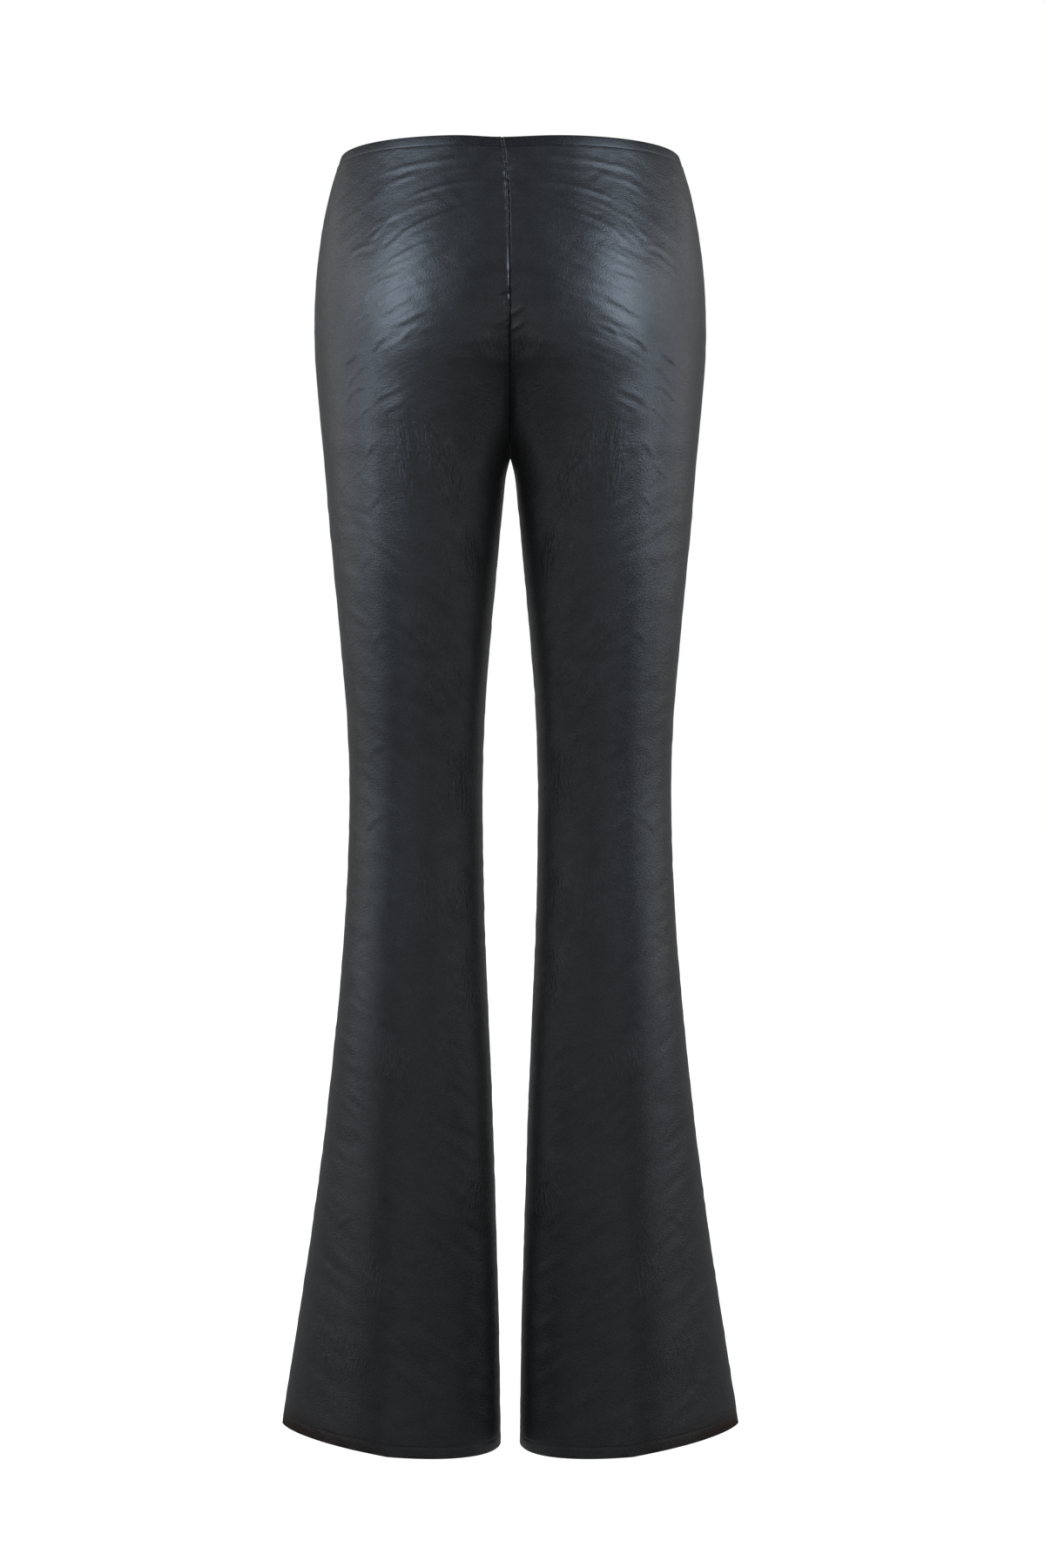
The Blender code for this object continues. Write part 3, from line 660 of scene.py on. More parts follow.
def panel_rows():
    """Heights of the rows of vertices, evenly spaced along the back panel's inner edge."""
    levels = np.linspace(-BAND_DEPTH - SEAM_GAP, HEM, LEVEL_SAMPLES)
    edge = bare_surface("back", levels, np.zeros((len(levels), 1)))[:, 0]
    steps = np.linalg.norm(np.diff(edge, axis=0), axis=1)
    spacing = SEAT_ROW + (LEG_ROW - SEAT_ROW) * ease((FORK - LEG_ROW_START - levels[1:]) / LEG_FADE)
    spacing[np.abs(levels[1:] - HEM - HEM_TURN_UP) < HEM_ROW_REACH] = HEM_ROW
    count = np.concatenate([[0], np.cumsum(steps / spacing)])
    rows = np.interp(np.linspace(0, count[-1], int(count[-1]) + 1), count, levels)
    for fixed in (FORK, HEM + HEM_TURN_UP):
        rows[np.abs(rows - fixed).argmin()] = fixed
    return rows


def panel_columns(panel, heights):
    """Distances of the columns of vertices from the inner edge, close together at the seams."""
    width = girth(panel, heights)[:, None]
    edge = np.array(EDGE_COLUMNS)
    share = np.linspace(0, 1, BROAD_COLUMNS + 2)[1:-1]
    broad = edge[-1] + (width - 2 * edge[-1]) * share
    inner_edge = np.broadcast_to(edge, (len(heights), len(edge)))
    return np.concatenate([inner_edge, broad, width - edge[::-1]], axis=1)


def outline(top, bottom, left, right):
    """Places round a block of the lattice, in the order in which its faces turn."""
    path = [(top, column) for column in range(left, right)]
    path += [(row, right) for row in range(top, bottom)]
    path += [(bottom, column) for column in range(right, left, -1)]
    path += [(row, left) for row in range(bottom, top, -1)]
    return path


def spaced(count, step):
    """Every step-th number up to count, and the last one."""
    return sorted({*range(0, count, step), count - 1})


def patch_strength(panel, across, height):
    """How strong the fine upright crinkles are, from 0 to 1."""
    strength = np.zeros_like(across)
    for row in PATCHES:
        patch = dict(zip(PATCH_COLUMNS, row))
        if patch["panel"] != panel:
            continue
        down = (height - patch["z"]) / patch["half_z"]
        aside = (across - patch["x"] - patch["lean"] * (height - patch["z"])) / patch["half_x"]
        strength = np.maximum(strength, patch["strength"] * bell((aside ** 2 + down ** 2) * PATCH_SHARPNESS))
    return strength


def make_mesh(name, points, faces, materials, slots=None):
    """A mesh object from points in millimetres."""
    mesh = bpy.data.meshes.new(name)
    mesh.from_pydata(np.asarray(points) * MM, [], faces)
    for material in materials:
        mesh.materials.append(material)
    if slots is not None:
        mesh.polygons.foreach_set("material_index", slots)
    mesh.shade_smooth()
    mesh.set_sharp_from_angle(angle=math.radians(SHARP_ANGLE))
    body = bpy.data.objects.new(name, mesh)
    bpy.context.scene.collection.objects.link(body)
    return body


def add_maps(body, aside, height, crinkle):
    """The cloth's own measures as a UV map in metres, and the crinkles' strength."""
    mesh = body.data
    corner = np.empty(len(mesh.loops), int)
    mesh.loops.foreach_get("vertex_index", corner)
    places = np.stack([np.asarray(aside)[corner], np.asarray(height)[corner]], axis=-1) * MM
    layer = mesh.uv_layers.new(name="cloth")
    layer.data.foreach_set("uv", places.ravel())
    mesh.attributes.new("crinkle", "FLOAT", "POINT").data.foreach_set("value", np.asarray(crinkle, float))


def facing_out(points, faces):
    """The faces of a closed form, all turned over if they face inwards."""
    volume = 0.0
    for face in faces:
        for second, third in zip(face[1:], face[2:]):
            volume += np.dot(points[face[0]], np.cross(points[second], points[third]))
    return [face[::-1] for face in faces] if volume < 0 else faces


def sleeve_faces(rows, columns, rows_close, columns_close):
    """Faces between the points of a grid, whose last row or column may join the first."""
    faces = []
    for row in range(rows if rows_close else rows - 1):
        above = (row + 1) % rows
        for column in range(columns if columns_close else columns - 1):
            following = (column + 1) % columns
            faces.append([row * columns + column, row * columns + following,
                          above * columns + following, above * columns + column])
    return faces


def make_panel(name, panel, side, heights):
    """A front or back panel: leather outside, a knitted backing inside, and its rim."""
    reach = panel_columns(panel, heights)
    rows, columns = reach.shape
    outer = cloth(panel, side, heights, reach)
    inner = cloth(panel, side, heights, reach, CLOTH_WALL, lining=True)
    number = np.arange(rows * columns).reshape(rows, columns)
    faces = np.stack([number[:-1, :-1], number[:-1, 1:], number[1:, 1:], number[1:, :-1]], axis=-1)
    faces = faces.reshape(-1, 4).tolist()
    rim = outline(0, rows - 1, 0, columns - 1)
    picked_rows, picked_columns = spaced(rows, LINING_STEP), spaced(columns, LINING_STEP)
    used = sorted(set(rim) | {(row, column) for row in picked_rows for column in picked_columns})
    lining = {place: rows * columns + len(rim) + index for index, place in enumerate(used)}
    lip = [rows * columns + index for index in range(len(rim))]
    rim_points = [(outer[place] + inner[place]) / 2 for place in rim]
    for point, (row, _) in zip(rim_points, rim):
        point[2] -= HEM_LIP * (row == rows - 1)
    for index, place in enumerate(rim):
        following = (index + 1) % len(rim)
        ahead = rim[following]
        faces.append([number[ahead], number[place], lip[index], lip[following]])
        faces.append([lip[following], lip[index], lining[place], lining[ahead]])
    leather_faces = len(faces)
    for top, bottom in zip(picked_rows, picked_rows[1:]):
        for left, right in zip(picked_columns, picked_columns[1:]):
            ring = [lining[place] for place in outline(top, bottom, left, right) if place in lining]
            faces.append(ring[::-1])
    points = np.concatenate([outer.reshape(-1, 3), rim_points, [inner[place] for place in used]])
    slots = np.zeros(len(faces), int)
    slots[leather_faces:] = 1
    if (panel == "back") == (side > 0):
        faces = [face[::-1] for face in faces]
    body = make_mesh(name, points, faces, [LEATHER, BACKING], slots)
    width = girth(panel, heights)[:, None]
    aside = (width - reach) * (1 if panel == "back" else -1)
    level = np.broadcast_to(heights[:, None], aside.shape)
    across = np.abs(outer[..., 0])
    crinkle = patch_strength(panel, across, level)
    places = rim + used
    add_maps(body, [*aside.ravel(), *(aside[place] for place in places)],
             [*level.ravel(), *(level[place] for place in places)],
             [*crinkle.ravel(), *(0.0 for _ in places)])
    return body


INNER_INSET = CLOTH_WALL + 0.25  # of what lies behind the panels
# The band and the turned-up hem: height of the foot, depth, how far the outer face lies inside
# the cloth's, points on each panel, and the profile round the wall from the lower outer edge, as
# height above the foot in shares of the depth and millimetres inside the outer face
BAND = {
    "foot": -BAND_DEPTH - 0.01, "depth": BAND_DEPTH, "inset": 0.0, "count": 120,
    "profile": (
        (0.00, 1.00), (0.01, 0.60), (0.03, 0.38), (0.06, 0.345), (0.20, 0.33), (0.50, 0.28),
        (0.80, 0.31), (0.92, 0.40), (0.98, 0.68), (1.00, 1.05), (1.00, 1.50), (0.97, 1.85),
        (0.88, 2.10), (0.50, 2.15), (0.12, 2.10), (0.00, 1.70),
    ),
}
TURN_UP = {
    "foot": HEM, "depth": HEM_TURN_UP, "inset": INNER_INSET, "count": 110,
    "profile": (
        (0.04, 0.15), (0.0, 0.5), (0.04, 0.85), (0.5, 1.0),
        (0.96, 0.9), (1.0, 0.5), (0.96, 0.1), (0.5, 0.0),
    ),
}
RING_EDGE = (0.0, 0.4, 0.9, 1.6)  # columns beside a seam, in millimetres from it


def round_path(side, height, inset, count, whole):
    """A row of points from the inner edge of the back, round the side seam, to the front's,
    with count of them on each panel. Where whole is false, the last, which meets the first
    again, is left out."""
    level = np.array([height])
    row, walked = [], []
    start = 0.0
    for panel in ("back", "front"):
        width = girth(panel, level)[0]
        edge = np.array(RING_EDGE)
        broad = np.linspace(edge[-1], width - edge[-1], count - 2 * len(edge) + 2)[1:-1]
        reach = np.concatenate([edge, broad, width - edge[::-1]])[None]
        points = cloth(panel, side, level, reach, inset, lining=True)[0]
        row += list(points) if panel == "back" else list(points[-2::-1])
        walked += list(reach[0]) if panel == "back" else list(start + width - reach[0, -2::-1])
        start += width
    return (row, walked) if whole else (row[:-1], walked[:-1])


def make_strip(name, side, form, material, closed):
    """A folded strip round half the waist or, closed into a ring, round a leg."""
    lines = []
    for share, inside in form["profile"]:
        height = form["foot"] + form["depth"] * share
        line, walked = round_path(side, height, form["inset"] + inside, form["count"], not closed)
        lines.append(line)
    rows, columns = len(lines), len(walked)
    points = [point for line in lines for point in line]
    faces = sleeve_faces(rows, columns, True, closed)
    if not closed:
        faces.append([row * columns for row in range(rows)])
        faces.append([row * columns + columns - 1 for row in reversed(range(rows))])
    body = make_mesh(name, points, facing_out(points, faces), [material])
    level = [share * form["depth"] for share, _ in form["profile"] for _ in walked]
    add_maps(body, list(walked) * rows, level, [0.0] * len(points))
    return body


# --- Materials ---------------------------------------------------------------------------


def add(tree, kind, values=(), **settings):
    """A new node. values gives its inputs by name or number: a socket to link, or a value."""
    node = tree.nodes.new(kind)
    for name, value in settings.items():
        setattr(node, name, value)
    for name, value in dict(values).items():
        if isinstance(value, bpy.types.NodeSocket):
            tree.links.new(value, node.inputs[name])
        else:
            node.inputs[name].default_value = value
    return node


def math_node(tree, operation, first, second=0.0, third=0.0):
    """The result of a sum on numbers or sockets."""
    return add(tree, "ShaderNodeMath", {0: first, 1: second, 2: third}, operation=operation).outputs[0]


def noise_node(tree, places, scale, detail):
    """A noise texture with that many knots in each unit of the places."""
    return add(tree, "ShaderNodeTexNoise", {"Vector": places, "Scale": scale, "Detail": detail}).outputs[0]


def waves_node(tree, places, direction, scale, distortion=0.0):
    """Bands across a direction, wavy where there is distortion."""
    values = {"Vector": places, "Scale": scale, "Distortion": distortion, "Detail": 1.0}
    return add(tree, "ShaderNodeTexWave", values, bands_direction=direction).outputs["Fac"]


def ranged(tree, value, low, high, first, last):
    """A value between low and high, as one between first and last."""
    return add(tree, "ShaderNodeMapRange", {"Value": value, 1: low, 2: high, 3: first, 4: last}).outputs[0]


def vector_node(tree, operation, first, second):
    """The result of a sum on vectors."""
    return add(tree, "ShaderNodeVectorMath", {0: first, 1: second}, operation=operation).outputs[0]


def mixed(tree, share, first, second):
    """A colour between two others, each a colour or a socket."""
    return add(tree, "ShaderNodeMix", {0: share, 6: first, 7: second}, data_type="RGBA").outputs[2]


def stretched(tree, places, wide, tall, turn=0):
    """Places in units of wide and tall, then turned by some degrees."""
    values = {"Vector": places, "Rotation": (0, 0, math.radians(turn)), "Scale": (1 / wide, 1 / tall, 1)}
    return add(tree, "ShaderNodeMapping", values).outputs[0]


def shade_bumps(tree, shader, height, distance):
    """Shades the surface as if it stood out by height times distance."""
    bump = add(tree, "ShaderNodeBump", {"Height": height, "Distance": distance}).outputs[0]
    tree.links.new(bump, shader.inputs["Normal"])


def new_material(name, colour, roughness):
    """A Principled material, its node tree and its shader."""
    material = bpy.data.materials.new(name)
    material.use_nodes = True
    tree = material.node_tree
    shader = tree.nodes["Principled BSDF"]
    shader.inputs["Base Color"].default_value = (*colour, 1)
    shader.inputs["Roughness"].default_value = roughness
    material.diffuse_color = (*colour, 1)
    return material, tree, shader


def cloth_uv(tree):
    """The cloth's own measures: metres from the side seam, and height in metres."""
    return add(tree, "ShaderNodeUVMap", uv_map="cloth").outputs[0]


def cloth_places(tree):
    """Places on the cloth in millimetres."""
    return stretched(tree, cloth_uv(tree), MM, MM)


# The leather's textures: sizes and heights in millimetres, scales in knots to the millimetre
BEND = (1.5, 1.5, 0)
BEND_SCALE = 0.22
PEBBLE_SIZE = 0.95
PEBBLE_DEPTH = 0.13
FINE_SCALE = 1.9
FINE_HEIGHT = 0.07
CRINKLE_SIZE = (2.4, 13.0)
CRINKLE_HEIGHT = 2.4
WRINKLE_SIZE = (7.0, 2.2)
WRINKLE_TURN = 35
WRINKLE_HEIGHT = 0.17
CLUSTER_SCALE = 0.035
CLUSTER_RANGE = (0.4, 0.65, 0.35, 1.0)  # from low and high noise to weak and full wrinkles
MOTTLE_SCALE = 0.06
MOTTLE_RANGE = (0.3, 0.75)  # where the colour is new and where it is rubbed
# Share of the colour at the pebbles' middles and edges, by distance from the middle, which paints
# shade into the grooves between the pebbles, and how much rougher the edges and the rubbed places
# are than the smoothest of the leather
PEBBLE_PAINTED_SHADE = (0.05, 0.65, 1.4, 0.5)
PEBBLE_DULLNESS = 0.14
MOTTLE_DULLNESS = 0.06
SMOOTHEST = 0.09  # how much smoother that is than the roughness given
LEATHER_SHINE_COLOUR = (0.88, 0.93, 1.0, 1)
# Where the coating has gone reddish along the hem: heights between which it fades out and reach
# from the side seam, in metres, its colour, and how much of the shine it loses
HEM_WEAR_FOOT = -1.036
HEM_WEAR_TOP = -1.022
HEM_WEAR_REACH = 0.15
HEM_WEAR_COLOUR = (0.030, 0.013, 0.006)
HEM_WEAR_DULLNESS = 0.48


def hem_wear(tree):
    """How worn the coating is beside the side seam at the hem, from 0 to 1."""
    spot = add(tree, "ShaderNodeSeparateXYZ", {0: cloth_uv(tree)})
    low = ranged(tree, spot.outputs[1], HEM_WEAR_FOOT, HEM_WEAR_TOP, 1.0, 0.0)
    beside = ranged(tree, math_node(tree, "ABSOLUTE", spot.outputs[0]), 0.0, HEM_WEAR_REACH, 1.0, 0.0)
    return math_node(tree, "MULTIPLY", low, beside)


def make_leather(name, colour, worn_colour, roughness, shine):
    """Soft nappa-like coated cloth: pebbled grain, fine wrinkles and crinkled patches."""
    material, tree, shader = new_material(name, colour, roughness)
    places = cloth_places(tree)
    wander = add(tree, "ShaderNodeTexNoise", {"Vector": places, "Scale": BEND_SCALE, "Detail": 2.0})
    bent = vector_node(tree, "ADD", places, vector_node(tree, "MULTIPLY", wander.outputs["Color"], BEND))
    grain = {"Vector": bent, "Scale": 1 / PEBBLE_SIZE, "Smoothness": 0.5}
    pebbles = add(tree, "ShaderNodeTexVoronoi", grain, feature="SMOOTH_F1").outputs["Distance"]
    fine = noise_node(tree, bent, FINE_SCALE, 2.0)
    crinkles = noise_node(tree, stretched(tree, bent, *CRINKLE_SIZE), 1.0, 2.0)
    wrinkles = noise_node(tree, stretched(tree, bent, *WRINKLE_SIZE, WRINKLE_TURN), 1.0, 2.0)
    patch = add(tree, "ShaderNodeAttribute", attribute_name="crinkle").outputs["Fac"]
    clusters = ranged(tree, noise_node(tree, places, CLUSTER_SCALE, 1.0), *CLUSTER_RANGE)
    height = math_node(tree, "MULTIPLY", pebbles, -PEBBLE_DEPTH)
    height = math_node(tree, "MULTIPLY_ADD", fine, FINE_HEIGHT, height)
    crinkled = math_node(tree, "MULTIPLY", crinkles, patch)
    height = math_node(tree, "MULTIPLY_ADD", crinkled, CRINKLE_HEIGHT, height)
    wrinkled = math_node(tree, "MULTIPLY", wrinkles, clusters)
    height = math_node(tree, "MULTIPLY_ADD", wrinkled, WRINKLE_HEIGHT, height)
    shade_bumps(tree, shader, height, MM)
    mottle = noise_node(tree, places, MOTTLE_SCALE, 3.0)
    tone = add(tree, "ShaderNodeValToRGB", {"Fac": mottle})
    for element, position, shade in zip(tone.color_ramp.elements, MOTTLE_RANGE, (colour, worn_colour)):
        element.position = position
        element.color = (*shade, 1)
    worn = hem_wear(tree)
    toned = mixed(tree, worn, tone.outputs[0], (*HEM_WEAR_COLOUR, 1))
    # painted shade: the colour darkens towards each pebble's edge, in the grooves of the grain
    tone_with_painted_shade = vector_node(tree, "MULTIPLY", toned, ranged(tree, pebbles, *PEBBLE_PAINTED_SHADE))
    gloss = math_node(tree, "MULTIPLY_ADD", pebbles, PEBBLE_DULLNESS, roughness - SMOOTHEST)
    gloss = math_node(tree, "MULTIPLY_ADD", mottle, MOTTLE_DULLNESS, gloss)
    shine = math_node(tree, "MULTIPLY_ADD", worn, -HEM_WEAR_DULLNESS, shine)
    for socket, value in (("Base Color", tone_with_painted_shade), ("Roughness", gloss), ("Specular IOR Level", shine)):
        tree.links.new(value, shader.inputs[socket])
    shader.inputs["Specular Tint"].default_value = LEATHER_SHINE_COLOUR
    return material


def make_backing():
    """The knitted cloth on the leather's inner side."""
    material, tree, shader = new_material("knit_backing", (0.035, 0.035, 0.038), 0.9)
    places = cloth_places(tree)
    ribs = waves_node(tree, places, "X", 0.32, 0.6)
    loops_up = waves_node(tree, places, "Y", 0.45, 0.8)
    weave = math_node(tree, "MULTIPLY", ribs, loops_up)
    fuzz = noise_node(tree, places, 2.0, 3.0)
    shade_bumps(tree, shader, math_node(tree, "MULTIPLY_ADD", fuzz, 0.3, weave), 0.25 * MM)
    tone = mixed(tree, weave, (0.02, 0.02, 0.022, 1), (0.05, 0.05, 0.054, 1))
    tree.links.new(tone, shader.inputs["Base Color"])
    shader.inputs["Sheen Weight"].default_value = 0.3
    shader.inputs["Specular IOR Level"].default_value = 0.2
    return material


def make_thread():
    """Black polyester sewing thread."""
    material, tree, shader = new_material("black_thread", (0.02, 0.02, 0.022), 0.45)
    places = add(tree, "ShaderNodeTexCoord").outputs["Object"]
    twist = waves_node(tree, places, "DIAGONAL", 900.0)
    shade_bumps(tree, shader, twist, 0.06 * MM)
    tone = mixed(tree, twist, (0.012, 0.012, 0.014, 1), (0.03, 0.03, 0.034, 1))
    tree.links.new(tone, shader.inputs["Base Color"])
    return material


# Colour where new and where rubbed, roughness and shine
LEATHER = make_leather("faux_leather", (0.011, 0.0112, 0.012), (0.018, 0.0185, 0.02), 0.35, 0.5)
# The band is the same leather with a darker colour, which is painted shade, and less shine
BAND_LEATHER_PAINTED_SHADE = make_leather("faux_leather_band", (0.009, 0.0092, 0.010), (0.014, 0.0145, 0.016), 0.34, 0.36)
BACKING = make_backing()
THREAD = make_thread()


# --- Seams, stitches -----------------------------------------------------------------------

ALLOWANCE = 11.0
ALLOWANCE_FOLD = 0.6  # how far from the seam it is pressed open
ALLOWANCE_MIDDLE = 0.55  # share of its width at which it has its middle line of points
ALLOWANCE_WALL = 0.9
ALLOWANCE_STEP = 8.0


def near_edge(panel, side, heights, distances, at_side_seam, inset):
    """Points beside a panel's inner edge or side seam, inside the cloth."""
    reach = np.broadcast_to(np.array(distances), (len(heights), len(distances)))
    if at_side_seam:
        reach = girth(panel, heights)[:, None] - reach
    return cloth(panel, side, heights, reach, inset, lining=True)


def make_allowance(name, first, second, heights, at_side_seam):
    """A seam allowance pressed open behind a seam. first and second are panel and side."""
    away = np.array([ALLOWANCE, ALLOWANCE * ALLOWANCE_MIDDLE, ALLOWANCE_FOLD])
    layers = []
    for inset in (INNER_INSET, INNER_INSET + ALLOWANCE_WALL):
        left = near_edge(*first, heights, away, at_side_seam, inset)
        right = near_edge(*second, heights, away[::-1], at_side_seam, inset)
        layers.append(np.concatenate([left, right], axis=1))
    section = np.concatenate([layers[0], layers[1][:, ::-1]], axis=1)
    rows, count = section.shape[:2]
    faces = sleeve_faces(rows, count, False, True)
    faces += [list(range(count))[::-1], [(rows - 1) * count + i for i in range(count)]]
    points = section.reshape(-1, 3)
    body = make_mesh(name, points, facing_out(points, faces), [BACKING])
    around = np.tile(np.linspace(0, 4 * ALLOWANCE, count), rows)
    add_maps(body, around, np.repeat(heights, count), [0.0] * (rows * count))
    return body


STITCH_PITCH = 3.0
STITCH_LENGTH = 2.3
STITCH_RADIUS = 0.19
STITCH_SIDES = 6
STITCH_LIFT = 0.05
STITCH_PATH_STEP = 2
STITCH_PATH_END = 0.3  # how far from the seams a row of stitches ends
STITCH_AHEAD = 0.5  # distance over which a stitch's direction is measured
# Along one stitch: place as a share of its length, thickness and height above the cloth in radii
STITCH_PROFILE = (
    (-0.5, 0.2, -1.0), (-0.46, 0.75, -0.55), (-0.25, 1.0, 0.1), (0.0, 1.05, 0.25),
    (0.25, 1.0, 0.1), (0.46, 0.75, -0.55), (0.5, 0.2, -1.0),
)


def stitch_points(middle, along, out):
    """Rings of points round one stitch, which dives into the cloth at both ends."""
    aside = np.cross(along, out)
    rings = []
    for place, thickness, height in STITCH_PROFILE:
        centre = middle + along * place * STITCH_LENGTH + out * height * STITCH_RADIUS
        for angle in np.arange(STITCH_SIDES) * 2 * math.pi / STITCH_SIDES:
            radius = STITCH_RADIUS * thickness
            rings.append(centre + (aside * math.cos(angle) + out * math.sin(angle)) * radius)
    return rings


def make_stitches(name, path, outs):
    """One thread's stitches along a path, as one piece."""
    path, outs = np.array(path), np.array(outs)
    walked = np.concatenate([[0], np.cumsum(np.linalg.norm(np.diff(path, axis=0), axis=1))])
    points, faces = [], []
    rings, sides = len(STITCH_PROFILE), STITCH_SIDES
    for place in np.arange(STITCH_PITCH / 2, walked[-1], STITCH_PITCH):
        middle, ahead, out = (np.array([np.interp(at, walked, values[:, axis]) for axis in range(3)])
                              for at, values in ((place, path), (place + STITCH_AHEAD, path), (place, outs)))
        along = ahead - middle
        along /= np.linalg.norm(along)
        out -= along * out.dot(along)
        out /= np.linalg.norm(out)
        base = len(points)
        points += stitch_points(middle, along, out)
        for ring in range(rings - 1):
            for i in range(sides):
                j = (i + 1) % sides
                low, high = base + ring * sides, base + (ring + 1) * sides
                faces.append([low + i, high + i, high + j, low + j])
        faces.append([base + i for i in range(sides)])
        faces.append([base + (rings - 1) * sides + i for i in reversed(range(sides))])
    return make_mesh(name, points, facing_out(points, faces), [THREAD])


def stitch_path(side, height):
    """The line of a row of stitches round one half or leg, and the way out of the cloth."""
    level = np.array([height])
    path, outs = [], []
    for panel in ("back", "front"):
        width = girth(panel, level)[0]
        reach = np.linspace(STITCH_PATH_END, width - STITCH_PATH_END, int(width / STITCH_PATH_STEP))[None]
        points = cloth(panel, side, level, reach)[0]
        normals = outward(panel, level, reach)[0] * [side, 1, 1]
        points += normals * STITCH_LIFT
        path += list(points) if panel == "back" else list(points[::-1])
        outs += list(normals) if panel == "back" else list(normals[::-1])
    return path, outs


# --- The pieces ----------------------------------------------------------------------------

ROWS = panel_rows()
WORDS = (("left", -1), ("right", 1))
FORK_CLEARANCE = 2  # from the fork to the ends of the seam allowances above and below it
TURN_UP_CLEARANCE = 1  # from their lower ends to the turned-up hem
WAIST_STITCH_DROP = 0.5


def settle(piece, slot, *nodes):
    """Puts a piece on the part's one body and in place of its nodes. slot is not used."""
    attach(piece, "root")
    if nodes:
        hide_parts(*nodes)
    return piece


def dress():
    """Makes every piece of the trousers."""
    fork, foot = ROWS[ROWS >= FORK][-1], HEM + HEM_TURN_UP + TURN_UP_CLEARANCE
    down_centre = np.linspace(ROWS[0], fork + FORK_CLEARANCE, int((ROWS[0] - FORK) / ALLOWANCE_STEP))
    down_leg = np.linspace(FORK - FORK_CLEARANCE, foot, int((FORK - HEM) / ALLOWANCE_STEP))
    down_side = np.linspace(ROWS[0], foot, int(-HEM / ALLOWANCE_STEP))
    for panel in ("back", "front"):
        strip = make_allowance(f"allowance_centre_{panel}", (panel, -1), (panel, 1), down_centre, False)
        settle(strip, "faux_leather")
    for word, side in WORDS:
        back, front = ("back", side), ("front", side)
        inleg = make_allowance(f"allowance_inleg_{word}", back, front, down_leg, False)
        outleg = make_allowance(f"allowance_side_{word}", back, front, down_side, True)
        for strip in (inleg, outleg):
            settle(strip, "faux_leather")
        band = make_strip(f"band_{word}", side, BAND, BAND_LEATHER_PAINTED_SHADE, False)
        settle(band, "band_leather", f"waist_band_{word}")
        hem = make_strip(f"hem_turn_up_{word}", side, TURN_UP, BACKING, True)
        settle(hem, "faux_leather", f"hem_{word}")
        hem_path = stitch_path(side, HEM + HEM_TURN_UP)
        waist_path = stitch_path(side, ROWS[0] - WAIST_STITCH_DROP)
        hem_thread = settle(make_stitches(f"hem_stitches_{word}", *hem_path), "thread")
        waist_thread = settle(make_stitches(f"waist_stitches_{word}", *waist_path), "thread")
        for panel, also in (("back", [inleg, outleg, hem_thread, waist_thread]), ("front", [])):
            piece = make_panel(f"{panel}_{word}_cloth", panel, side, ROWS)
            settle(piece, "faux_leather", f"{panel}_{word}")


dress()


# --- Camera, floor and light -----------------------------------------------------------------

CAMERA_PLACE = (0.010, -2.4, -0.509)
CAMERA_LENS = 67.2
CAMERA_SENSOR = 36.0
FLOOR_HEIGHT = -1.10
FLOOR_RADIUS = 30.0
FLOOR_SIDES = 48


def make_camera():
    """The photograph's view: from behind, level with the knees."""
    camera = bpy.data.cameras.new("camera")
    camera.lens = CAMERA_LENS
    camera.sensor_width = CAMERA_SENSOR
    holder = bpy.data.objects.new("camera", camera)
    holder.location = CAMERA_PLACE
    holder.rotation_euler = (math.radians(90), 0, 0)
    bpy.context.scene.collection.objects.link(holder)
    bpy.context.scene.camera = holder


def make_floor():
    """A plain pale floor, which gives no light to the cloth."""
    mesh = bpy.data.meshes.new("floor")
    turns = [i * 2 * math.pi / FLOOR_SIDES for i in range(FLOOR_SIDES)]
    rim = [(FLOOR_RADIUS * math.cos(turn), FLOOR_RADIUS * math.sin(turn), FLOOR_HEIGHT) for turn in turns]
    mesh.from_pydata(rim, [], [list(range(FLOOR_SIDES))])
    material, _, shader = new_material("floor_white", (0.8, 0.8, 0.8), 0.9)
    shader.inputs["Emission Color"].default_value = (1, 1, 1, 1)
    shader.inputs["Emission Strength"].default_value = 1.0
    shader.inputs["Specular IOR Level"].default_value = 0.0
    mesh.materials.append(material)
    floor = bpy.data.objects.new("floor", mesh)
    floor.visible_diffuse = False
    floor.visible_glossy = False
    bpy.context.scene.collection.objects.link(floor)


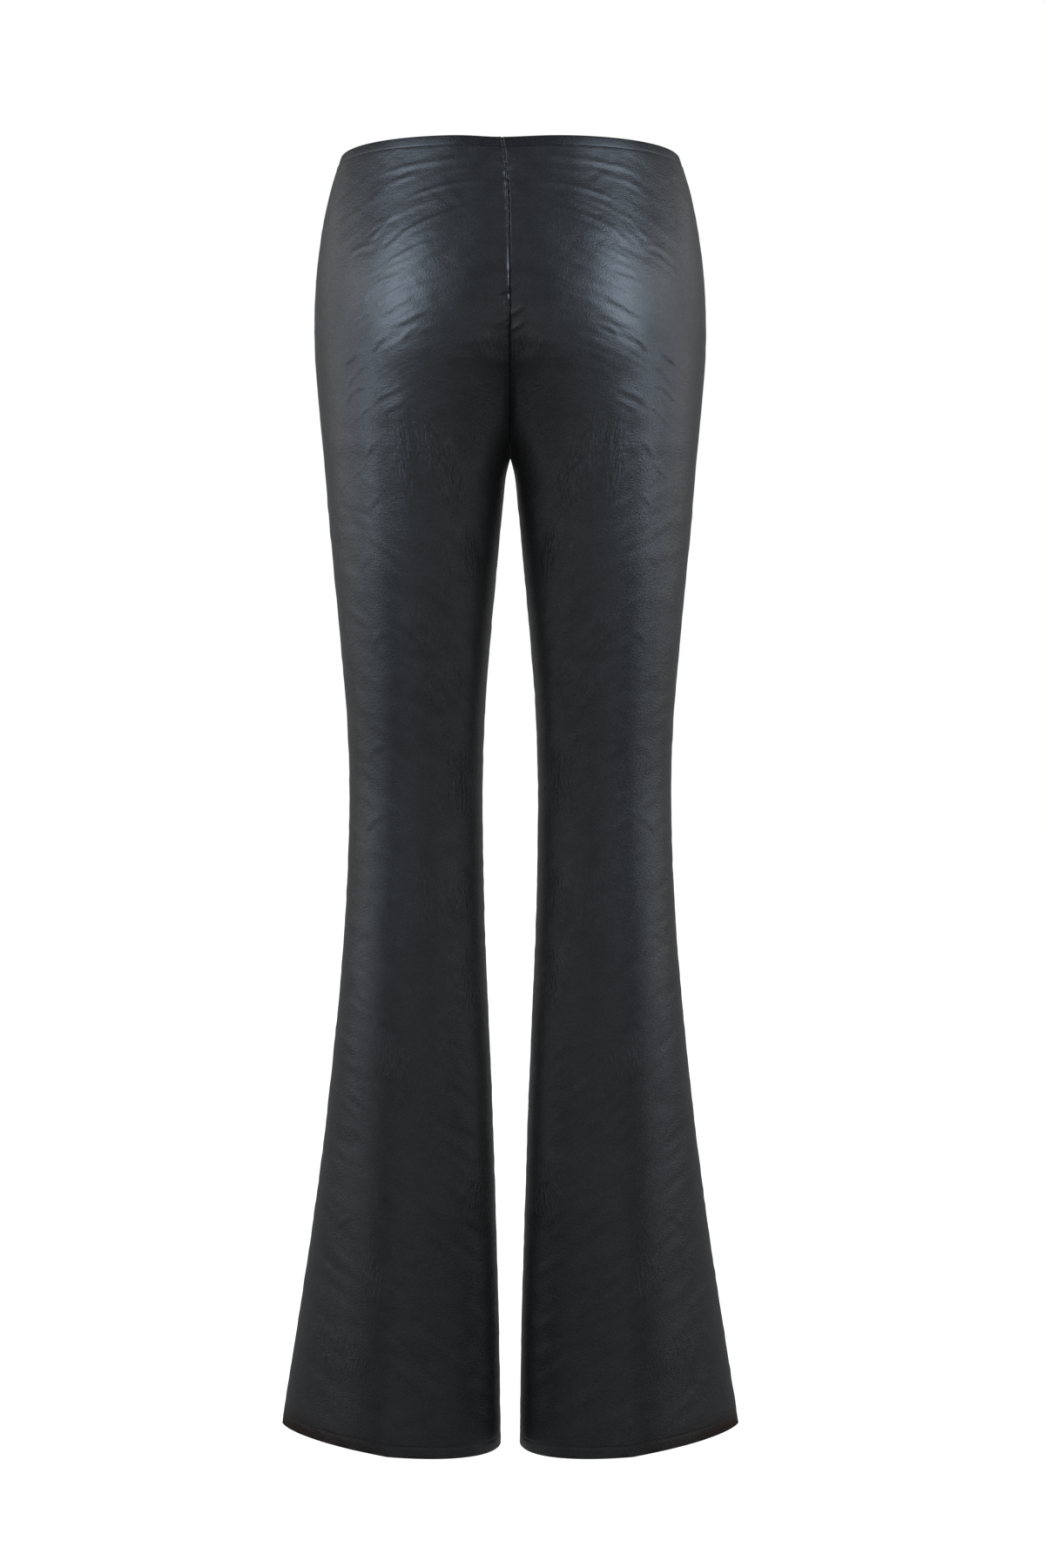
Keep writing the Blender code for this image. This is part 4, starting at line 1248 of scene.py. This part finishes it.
# Softboxes for the right half, each with a twin that lights the left half: place, aim, width and
# height in metres, radiance, colour, and what it lights. "half" is the lamp's own half of the
# trousers, "half alone" is that half without the other one's shadow, "front" is the front panels
# and "all" is everything.
LAMP_COLUMNS = ("name", "place", "aim", "size", "radiance", "colour", "lights")
COOL = (0.77, 0.88, 1.0)
PALE = (0.90, 0.95, 1.0)
WHITE = (1.0, 1.0, 1.0)
LAMPS = (
    ("seat", (0.446, -0.593, 0.12), (0.09, -0.11, 0.12), (0.38, 0.63), 8.2, COOL, "half"),
    ("hip_low", (0.646, -0.335, -0.28), (0.09, -0.11, -0.28), (0.12, 0.15), 9.0, COOL, "half"),
    ("hip_front", (2.5, 0.0, -0.23), (0.0, 0.0, -0.23), (1.34, 0.70), 2.05, PALE, "half"),
    ("hip_side", (2.27, 1.06, -0.125), (0.0, 0.0, -0.125), (0.88, 0.45), 1.6, WHITE, "half"),
    ("waist_front", (1.16, -0.31, 0.275), (0.1, 0.0, -0.05), (0.64, 0.35), 3.9, WHITE, "half"),
    ("waist_side", (1.13, 0.41, 0.275), (0.1, 0.0, -0.05), (0.87, 0.35), 0.9, WHITE, "half"),
    ("leg_side", (2.31, -0.96, -0.90), (0.0, 0.0, -0.90), (0.66, 0.40), 2.0, WHITE, "half"),
    ("inner_front", (-1.77, -1.77, -0.625), (0.0, 0.0, -0.625), (0.88, 0.55), 0.95, WHITE, "half alone"),
    ("inner_leg", (-2.49, -0.22, -0.625), (0.0, 0.0, -0.625), (0.88, 0.55), 0.75, WHITE, "half alone"),
    ("inner_thigh", (-2.38, -0.75, 0.40), (0.0, 0.0, 0.40), (1.11, 0.60), 2.4, WHITE, "half alone"),
    ("inner_edge", (-2.42, 0.65, -0.875), (0.0, 0.0, -0.875), (0.88, 1.05), 0.56, WHITE, "half alone"),
    ("cross", (-0.71, -0.45, 0.47), (0.008, -0.118, -0.14), (0.30, 0.26), 6.0, WHITE, "half"),
    ("low_back", (0.75, -2.8, -0.85), (0.75, 0.0, -0.85), (1.50, 0.50), 0.85, WHITE, "all"),
    ("front_high", (0.60, 1.30, 0.45), (0.09, 0.10, 0.0), (0.50, 0.50), 1.6, COOL, "front"),
    ("front_tall", (1.30, 1.60, -0.30), (0.0, 0.0, -0.30), (0.70, 2.40), 1.5, PALE, "front"),
)


def make_softbox(name, lamp, mirror, group):
    """A flat rectangular light that faces its aim. group is the collection that it is kept to."""
    width, height = lamp["size"]
    light = bpy.data.lights.new(name, "AREA")
    light.shape = "RECTANGLE"
    light.size, light.size_y = width, height
    light.energy = lamp["radiance"] * width * height * math.pi
    light.color = lamp["colour"]
    holder = bpy.data.objects.new(name, light)
    holder.location = mirror * lamp["place"]
    way = mirror * lamp["aim"] - mirror * lamp["place"]
    tilt, turn = math.atan2(math.hypot(way[0], way[1]), -way[2]), math.atan2(-way[0], way[1])
    holder.rotation_euler = (tilt, 0, turn)
    holder.visible_camera = False
    holder.light_linking.receiver_collection = group
    if lamp["lights"] == "half alone":
        holder.light_linking.blocker_collection = group
    bpy.context.scene.collection.objects.link(holder)


def group_of(*words):
    """A collection of the pieces that have one of the words in their names."""
    group = bpy.data.collections.new(f"{words[0]}_pieces")
    for body in bpy.context.scene.objects:
        if body.type == "MESH" and any(word in body.name for word in words):
            group.objects.link(body)
    return group


def make_lights():
    """The softboxes on both sides."""
    fronts = group_of("front")
    for word, side in WORDS:
        half = group_of(word, "centre_front")
        groups = {"half": half, "half alone": half, "front": fronts, "all": None}
        for row in LAMPS:
            lamp = dict(zip(LAMP_COLUMNS, row))
            make_softbox(f"{lamp['name']}_{word}", lamp, np.array((side, 1, 1)), groups[lamp["lights"]])


BACKDROP = 1.0
FILL = 0.23


def make_world():
    """White behind the trousers, and a dim even fill on them."""
    world = bpy.data.worlds.new("studio")
    world.use_nodes = True
    bpy.context.scene.world = world
    tree = world.node_tree
    background = tree.nodes["Background"]
    seen = add(tree, "ShaderNodeLightPath").outputs["Is Camera Ray"]
    strength = add(tree, "ShaderNodeMapRange", {"Value": seen, 3: FILL, 4: BACKDROP}).outputs[0]
    background.inputs["Color"].default_value = (1, 1, 1, 1)
    tree.links.new(strength, background.inputs["Strength"])


make_camera()
make_floor()
make_world()
make_lights()
bpy.context.scene.view_settings.view_transform = "Standard"
